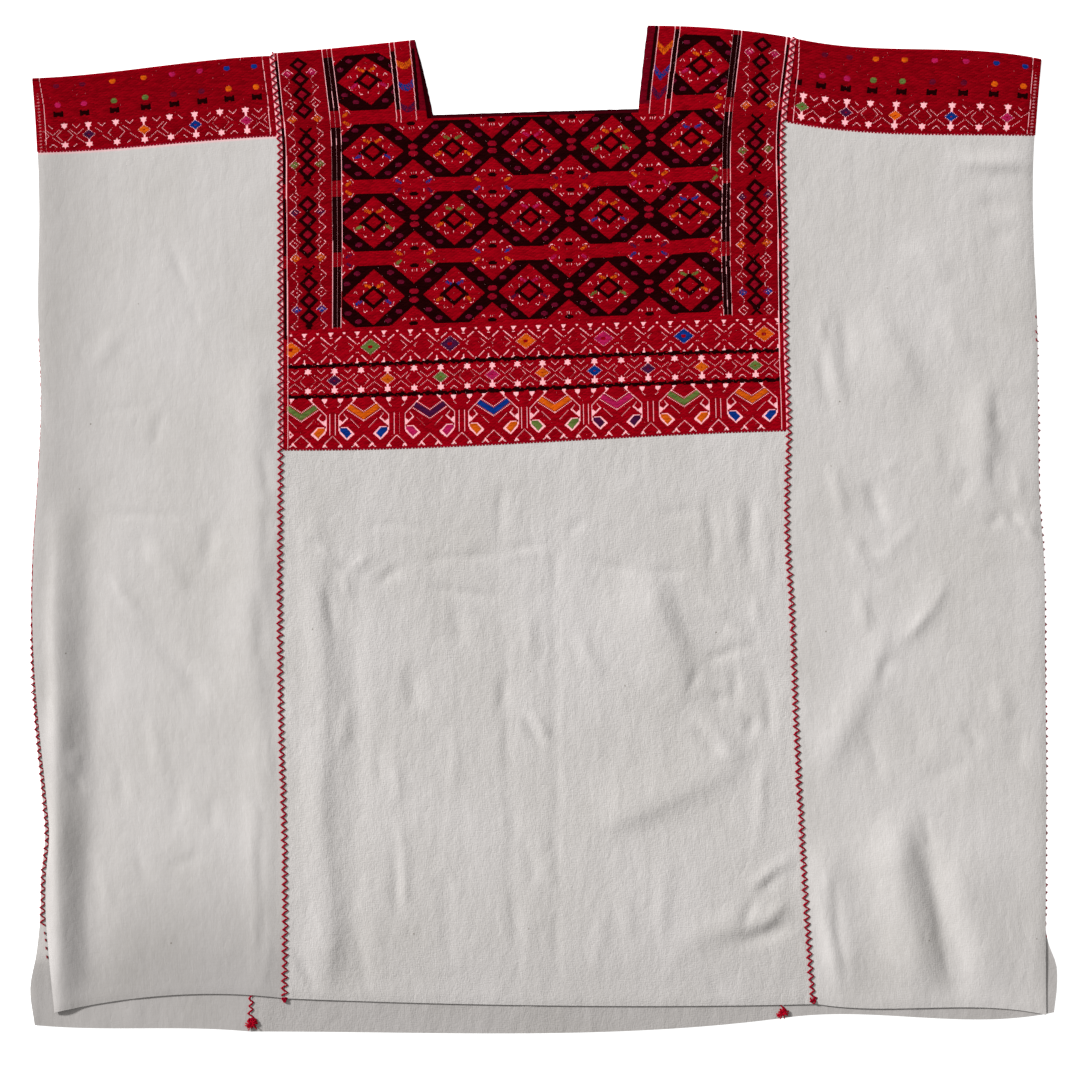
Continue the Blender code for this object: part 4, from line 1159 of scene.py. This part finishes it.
for name, web in webs.items():
    chart = yoke.copy() if name == "centre_web" else bands[name]
    whole, alongs = overShoulder(chart)
    if web["neck"]:
        whole[:round(web["neck"][0] / pick) + foldRows, neckLeft:neckRight] = 0
    parts = 3 if name == "centre_web" else 1
    for i, rows in enumerate(np.array_split(np.arange(len(whole)), parts)):
        pieces[name].append(addFloats(f"{name}_brocade_{i + 1}", web, whole[rows], alongs[rows] + foldHalf))
    behind = chart.copy()
    if web["neck"]:
        behind[:round(web["neck"][1] / pick), neckLeft:neckRight] = 0
    backAlongs = -foldHalf - (np.arange(len(behind)) + 0.5) * pick
    pieces[name].append(addFloats(f"{name}_back_brocade", web, behind, backAlongs, raised=False))
print("brocade woven")

shells = {name: addShell(name, web) for name, web in webs.items()}
print("cloth laid")


# ---- sewing
def newGroup(name, source, values):    # a tree with named inputs: its sizes in metres, and counts
    group = bpy.data.node_groups.new(name, "GeometryNodeTree")
    group.interface.new_socket(source, in_out="INPUT", socket_type="NodeSocketGeometry")
    for key, value in values.items():
        kind = "NodeSocketInt" if isinstance(value, int) else "NodeSocketFloat"
        group.interface.new_socket(key, in_out="INPUT", socket_type=kind).default_value = value
    group.interface.new_socket("Material", in_out="INPUT", socket_type="NodeSocketMaterial")
    group.interface.new_socket("Mesh", in_out="OUTPUT", socket_type="NodeSocketGeometry")
    return group, group.nodes.new("NodeGroupInput").outputs


def endAsThread(group, path, corners, given):    # a round thread along the path, then the tree's end
    ring = addNode(group, "GeometryNodeCurvePrimitiveCircle", inputs={
        "Resolution": corners, "Radius": given["Thread"]}).outputs["Curve"]
    tube = addNode(group, "GeometryNodeCurveToMesh", inputs={
        "Curve": path, "Profile Curve": ring, "Fill Caps": True}).outputs[0]
    tube = addNode(group, "GeometryNodeSetShadeSmooth", inputs={"Geometry": tube}).outputs[0]
    tube = addNode(group, "GeometryNodeRealizeInstances", inputs={"Geometry": tube}).outputs[0]
    tube = addNode(group, "GeometryNodeSetMaterial", inputs={
        "Geometry": tube, "Material": given["Material"]}).outputs[0]
    addNode(group, "NodeGroupOutput", inputs={"Mesh": tube})


def threadGroup():    # a thread along a line of edges, swinging from side to side by the "across" attribute
    group, given = newGroup("sewnThread", "Line", {
        "Pitch": 0.0058, "Thread": 0.0006, "Dip": 0.0005, "Unevenness": 0.0004, "Seed": 3})
    curve = addNode(group, "GeometryNodeMeshToCurve", inputs={"Mesh": given["Line"]}).outputs[0]
    quarter = addNode(group, "ShaderNodeMath", {"operation": "DIVIDE"}, {0: given["Pitch"], 1: 4.0})
    curve = addNode(group, "GeometryNodeResampleCurve", {"mode": "LENGTH"},
                    {"Curve": curve, "Length": quarter.outputs[0]}).outputs[0]
    index = addNode(group, "GeometryNodeInputIndex").outputs[0]
    turn = addNode(group, "ShaderNodeMath", multiply, {0: index, 1: math.pi / 2}).outputs[0]
    wave = addNode(group, "ShaderNodeMath", {"operation": "SINE"}, {0: turn}).outputs[0]
    across = addNode(group, "GeometryNodeInputNamedAttribute", {"data_type": "FLOAT_VECTOR"},
                     {"Name": "across"}).outputs["Attribute"]
    swing = addNode(group, "ShaderNodeVectorMath", {"operation": "SCALE"},
                    {"Vector": across, "Scale": wave}).outputs[0]
    low = addNode(group, "ShaderNodeMath", {"operation": "ABSOLUTE"}, {0: wave}).outputs[0]
    sink = addNode(group, "ShaderNodeMath", multiply, {0: low, 1: given["Dip"]}).outputs[0]
    sink = addNode(group, "ShaderNodeMath", multiply, {0: sink, 1: -1.0}).outputs[0]
    down = addNode(group, "ShaderNodeCombineXYZ", inputs={"Z": sink}).outputs[0]
    most = addNode(group, "ShaderNodeCombineXYZ", inputs={
        "X": given["Unevenness"], "Y": given["Unevenness"], "Z": 0.0}).outputs[0]
    least = addNode(group, "ShaderNodeVectorMath", {"operation": "SCALE"}, {"Vector": most, "Scale": -1.0})
    jitter = addNode(group, "FunctionNodeRandomValue", {"data_type": "FLOAT_VECTOR"}, {
        "Min": least.outputs[0], "Max": most, "ID": index, "Seed": given["Seed"]}).outputs[0]
    offset = addNode(group, "ShaderNodeVectorMath", add, {0: swing, 1: down}).outputs[0]
    offset = addNode(group, "ShaderNodeVectorMath", add, {0: offset, 1: jitter}).outputs[0]
    curve = addNode(group, "GeometryNodeSetPosition", inputs={"Geometry": curve, "Offset": offset}).outputs[0]
    endAsThread(group, curve, 6, given)
    return group


def tuftGroup():    # loose thread ends spreading from a knot
    group, given = newGroup("threadTuft", "Knot", {"Count": 12, "Length": 0.005, "Thread": 0.0005, "Seed": 5})
    points = addNode(group, "GeometryNodeMeshToPoints", inputs={"Mesh": given["Knot"]}).outputs[0]
    many = addNode(group, "GeometryNodeDuplicateElements", {"domain": "POINT"},
                   {"Geometry": points, "Amount": given["Count"]}).outputs[0]
    strand = addNode(group, "GeometryNodeCurvePrimitiveBezierSegment", inputs={
        "Resolution": 5, "Start": (0.0, 0.0, 0.0), "Start Handle": (0.2, 0.0, 0.35),
        "End Handle": (0.7, 0.1, 0.3), "End": (1.0, 0.0, -0.1)}).outputs[0]
    index = addNode(group, "GeometryNodeInputIndex").outputs[0]
    turn = addNode(group, "FunctionNodeRandomValue", {"data_type": "FLOAT_VECTOR"}, {
        "Min": (-0.15, -0.3, -math.pi), "Max": (0.15, 0.0, math.pi), "ID": index,
        "Seed": given["Seed"]}).outputs[0]
    reach = addNode(group, "FunctionNodeRandomValue", {"data_type": "FLOAT"}, {
        "Min": 0.55, "Max": 1.15, "ID": index, "Seed": given["Seed"]}).outputs["Value"]
    size = addNode(group, "ShaderNodeMath", multiply, {0: reach, 1: given["Length"]}).outputs[0]
    placed = addNode(group, "GeometryNodeInstanceOnPoints", inputs={
        "Points": many, "Instance": strand, "Rotation": turn, "Scale": size}).outputs[0]
    laid = addNode(group, "GeometryNodeRealizeInstances", inputs={"Geometry": placed}).outputs[0]
    endAsThread(group, laid, 5, given)
    return group


def grow(name, group, lines, across, settings):    # runs a group once on lines of points and keeps the mesh
    mesh = bpy.data.meshes.new(name)
    starts = np.cumsum([0] + [len(line) for line in lines])
    links = [(i, i + 1) for start, end in zip(starts, starts[1:]) for i in range(start, end - 1)]
    mesh.from_pydata([tuple(point) for point in np.concatenate(lines) * mm], links, [])
    piece = bpy.data.objects.new(name, mesh)
    bpy.context.scene.collection.objects.link(piece)
    if across is not None:
        setAttribute(piece, "across", "FLOAT_VECTOR", "POINT", np.broadcast_to(across, (starts[-1], 3)) * mm)
    growth = piece.modifiers.new("growth", "NODES")
    growth.node_group = group
    sockets = {item.name: item.identifier for item in group.interface.items_tree if item.in_out == "INPUT"}
    for key, value in settings.items():
        growth[sockets[key]] = value
    grown = bpy.data.meshes.new_from_object(piece.evaluated_get(bpy.context.evaluated_depsgraph_get()))
    piece.modifiers.clear()
    piece.data = grown
    grown.name = name
    return piece


sewn, knots = threadGroup(), tuftGroup()
# threads in millimetres: length of one zigzag, half thickness, how far it dips in at its turns, unevenness
joins = {"Pitch": 5.8, "Thread": 0.82, "Dip": 0.25, "Unevenness": 0.4}    # the zigzag that joins two webs
sideSeams = {**joins, "Thread": 0.72}
edging = {"Pitch": 12.0, "Thread": 0.72, "Dip": 0.0, "Unevenness": 0.15}    # yarn rolled into the neck's edge
dashes = {"Pitch": 2.4, "Thread": 0.5, "Dip": 0.0, "Unevenness": 0.1}
knotting = {**dashes, "Thread": 0.62}
joinPlace = {"swing": 2.1, "backSwing": 0.9, "proud": 0.35, "hemGap": 2, "backHemGap": 4}
# a side seam goes round the edge where front and back are as wide, and lies in view where the back is wider
sidePlace = {"flatSwing": 2.0, "rolledSwing": 0.5, "inside": 0.45, "rolledHigh": 1.5, "flatHigh": 1.7,
             "ends": {"left_web": (150, -309), "right_web": (160, -318)}}
centre = webs["centre_web"]
wall, gap = cloth["wall"], cloth["seamGap"] / 2
sewing = {name: [] for name in webs}


def threadLine(web, share, start, end, lift):    # points on the cloth from one length along it to another
    alongs = np.linspace(start, end, max(2, round(abs(end - start) / 3)))
    return clothPoint(web, np.full(len(alongs), share), alongs, lift)


def sew(owner, name, lines, across, kind, seed=1, material=joinThread):
    settings = {key: value * mm for key, value in kind.items()}
    piece = grow(name, sewn, lines, across, {**settings, "Seed": seed, "Material": material})
    sewing[owner].append(piece)


def knotLine(x, y, z, size):    # a thread looped through itself
    turn = np.linspace(0, 2 * math.pi, 40)
    loop = np.stack([np.sin(turn) + 2 * np.sin(2 * turn), np.cos(turn) - 2 * np.cos(2 * turn),
                     -0.6 * np.sin(3 * turn)], -1)
    return loop * size / 6 + (x, y, z)


for side, share, shift in (("left", 0.0, -gap), ("right", 1.0, gap)):
    frontEnd = centre["front"][2]["down"][-1] - joinPlace["hemGap"] + foldHalf
    backEnd = centre["back"][2]["down"][-1] - joinPlace["backHemGap"] + foldHalf
    ahead = threadLine(centre, share, 0.0, frontEnd, wall + joinPlace["proud"]) + (shift, 0, 0)
    behind = threadLine(centre, share, -1.0, -backEnd, 0.0) + (shift, 0, joinPlace["proud"])
    swing = joinPlace["swing"]
    sew("centre_web", f"{side}_join_front", [ahead], (swing, 0, 0), joins, seed=len(side))
    sew("centre_web", f"{side}_join_back", [behind], (swing * joinPlace["backSwing"], 0, 0), joins,
        seed=len(side) + 9)

# side seams, from the arm opening to the vent
for owner, front, back, side in (("left_web", leftSideFront, leftSideBack, -1),
                                 ("right_web", rightSideFront, rightSideBack, 1)):
    y = np.linspace(*sidePlace["ends"][owner], 160)
    inFront, behind = edgeX(front, y), edgeX(back, y)
    wide = ease((abs(behind - inFront) - 0.6) / 1.6)[:, None]
    rolled = np.stack([inFront - side * sidePlace["inside"], y, np.full(len(y), sidePlace["rolledHigh"])], -1)
    flat = np.stack([(inFront + behind) / 2, y, np.full(len(y), sidePlace["flatHigh"])], -1)
    across = wide * (sidePlace["flatSwing"], 0, 0) + (1 - wide) * (0, 0, sidePlace["rolledSwing"])
    sew(owner, f"{owner}_side_seam", [rolled * (1 - wide) + flat * wide], across, sideSeams, seed=21)

# rolled edge of the neck, the whole way round
a, b = centre["shares"]
ahead, behind = centre["neck"][0] + foldHalf, -centre["neck"][1] - foldHalf
ring = [(a, behind), (a, ahead), (b, ahead), (b, behind), (a, behind)]
loop = [clothPoint(centre, np.linspace(s0, s1, 60), np.linspace(l0, l1, 60), wall * 0.4)
        for (s0, l0), (s1, l1) in zip(ring, ring[1:])]
sew("centre_web", "neck_edging", [np.concatenate(loop)], (0, 0, 0), edging, seed=4, material=neckThread)

# short stitches that show at the vent and under the arm, then knots and loose ends where the joins stop
vent = [np.array(((x - 0.5, y + 1.1, 1.9), (x + 0.3, y - 1.1, 1.9)))
        for x, y in ((-389, -314.7), (-388.2, -320.2), (-387.8, -326.4), (-387.2, -333.4))]
arm = [np.array(((x - 0.4, y + 1.2, 2.7), (x + 0.3, y - 1.0, 2.6)))
       for x, y in ((383.6, 165.7), (383.8, 154), (384, 147.8))]
sew("left_web", "vent_stitches", vent, (0, 0, 0), dashes)
sew("right_web", "arm_stitches", arm, (0, 0, 0), dashes)
ends = [knotLine(-202.1, -366.4, 2.6, 4.2), knotLine(210.4, -366.6, 3.0, 5.6),
        knotLine(-227.2, -383.6, 1.9, 6.5), knotLine(186.4, -376.6, 1.9, 4.5)]
sew("centre_web", "join_knots", ends, (0, 0, 0), knotting)
tufts = ({"at": (-227.6, -385.7, 2.4), "Count": 40, "Length": 4.6, "Thread": 0.45, "Seed": 5},
         {"at": (186.2, -376.9, 2.4), "Count": 36, "Length": 4.4, "Thread": 0.45, "Seed": 8})
for i, tuft in enumerate(tufts):
    settings = {"Length": tuft["Length"] * mm, "Thread": tuft["Thread"] * mm,
                "Count": tuft["Count"], "Seed": tuft["Seed"], "Material": looseEnds}
    piece = grow(f"join_tuft_{i + 1}", knots, [np.array([tuft["at"]])], None, settings)
    sewing["centre_web"].append(piece)
print("joins sewn")


# ---- camera, light and floor
def addFloor():
    points = np.array(((-3000, -3000, -0.1), (3000, -3000, -0.1), (3000, 3000, -0.1), (-3000, 3000, -0.1)))
    white, _, _ = newMaterial("whitePaper", {
        "Base Color": (0.6, 0.6, 0.6, 1.0), "Roughness": 1.0, "Specular IOR Level": 0.0,
        "Emission Color": (1.0, 1.0, 1.0, 1.0), "Emission Strength": 0.85})
    return newPiece("floor", points, np.array([[0, 1, 2, 3]]), [white], smooth=False)


floor = addFloor()
camera = bpy.data.objects.new("camera", bpy.data.cameras.new("camera"))
bpy.context.scene.collection.objects.link(camera)
camera.location = (-0.0029, -0.0082, 4.0)
camera.data.lens = 36 * 4.0 / 0.8424    # the view is 842.4 mm wide at the floor, from 4 m
camera.data.sensor_width = 36
camera.data.clip_end = 20
bpy.context.scene.camera = camera


def addSun(name, direction, strength, spread):    # direction: from where the light comes
    sun = bpy.data.lights.new(name, "SUN")
    sun.energy = strength
    sun.angle = math.radians(spread)
    lamp = bpy.data.objects.new(name, sun)
    x, y, z = direction
    lamp.rotation_euler = (math.atan2(math.hypot(x, y), z), 0, math.atan2(y, x) + math.pi / 2)
    bpy.context.scene.collection.objects.link(lamp)


addSun("windowLight", (-1.6, 0.95, 1.0), 5.8, 8)
world = bpy.data.worlds.new("studio")
bpy.context.scene.world = world
world.use_nodes = True
world.node_tree.nodes["Background"].inputs["Color"].default_value = (1, 1, 1, 1)
world.node_tree.nodes["Background"].inputs["Strength"].default_value = 0.54
bpy.context.scene.view_settings.view_transform = "Standard"

# ---- frame
for name, piece in shells.items():
    web = webs[name]
    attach(piece, body)
    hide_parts(name)
    for parts, slotName in ((pieces[name], "pattern_yarn"), (sewing[name], "join_thread")):
        for part in parts:
            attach(part, body)
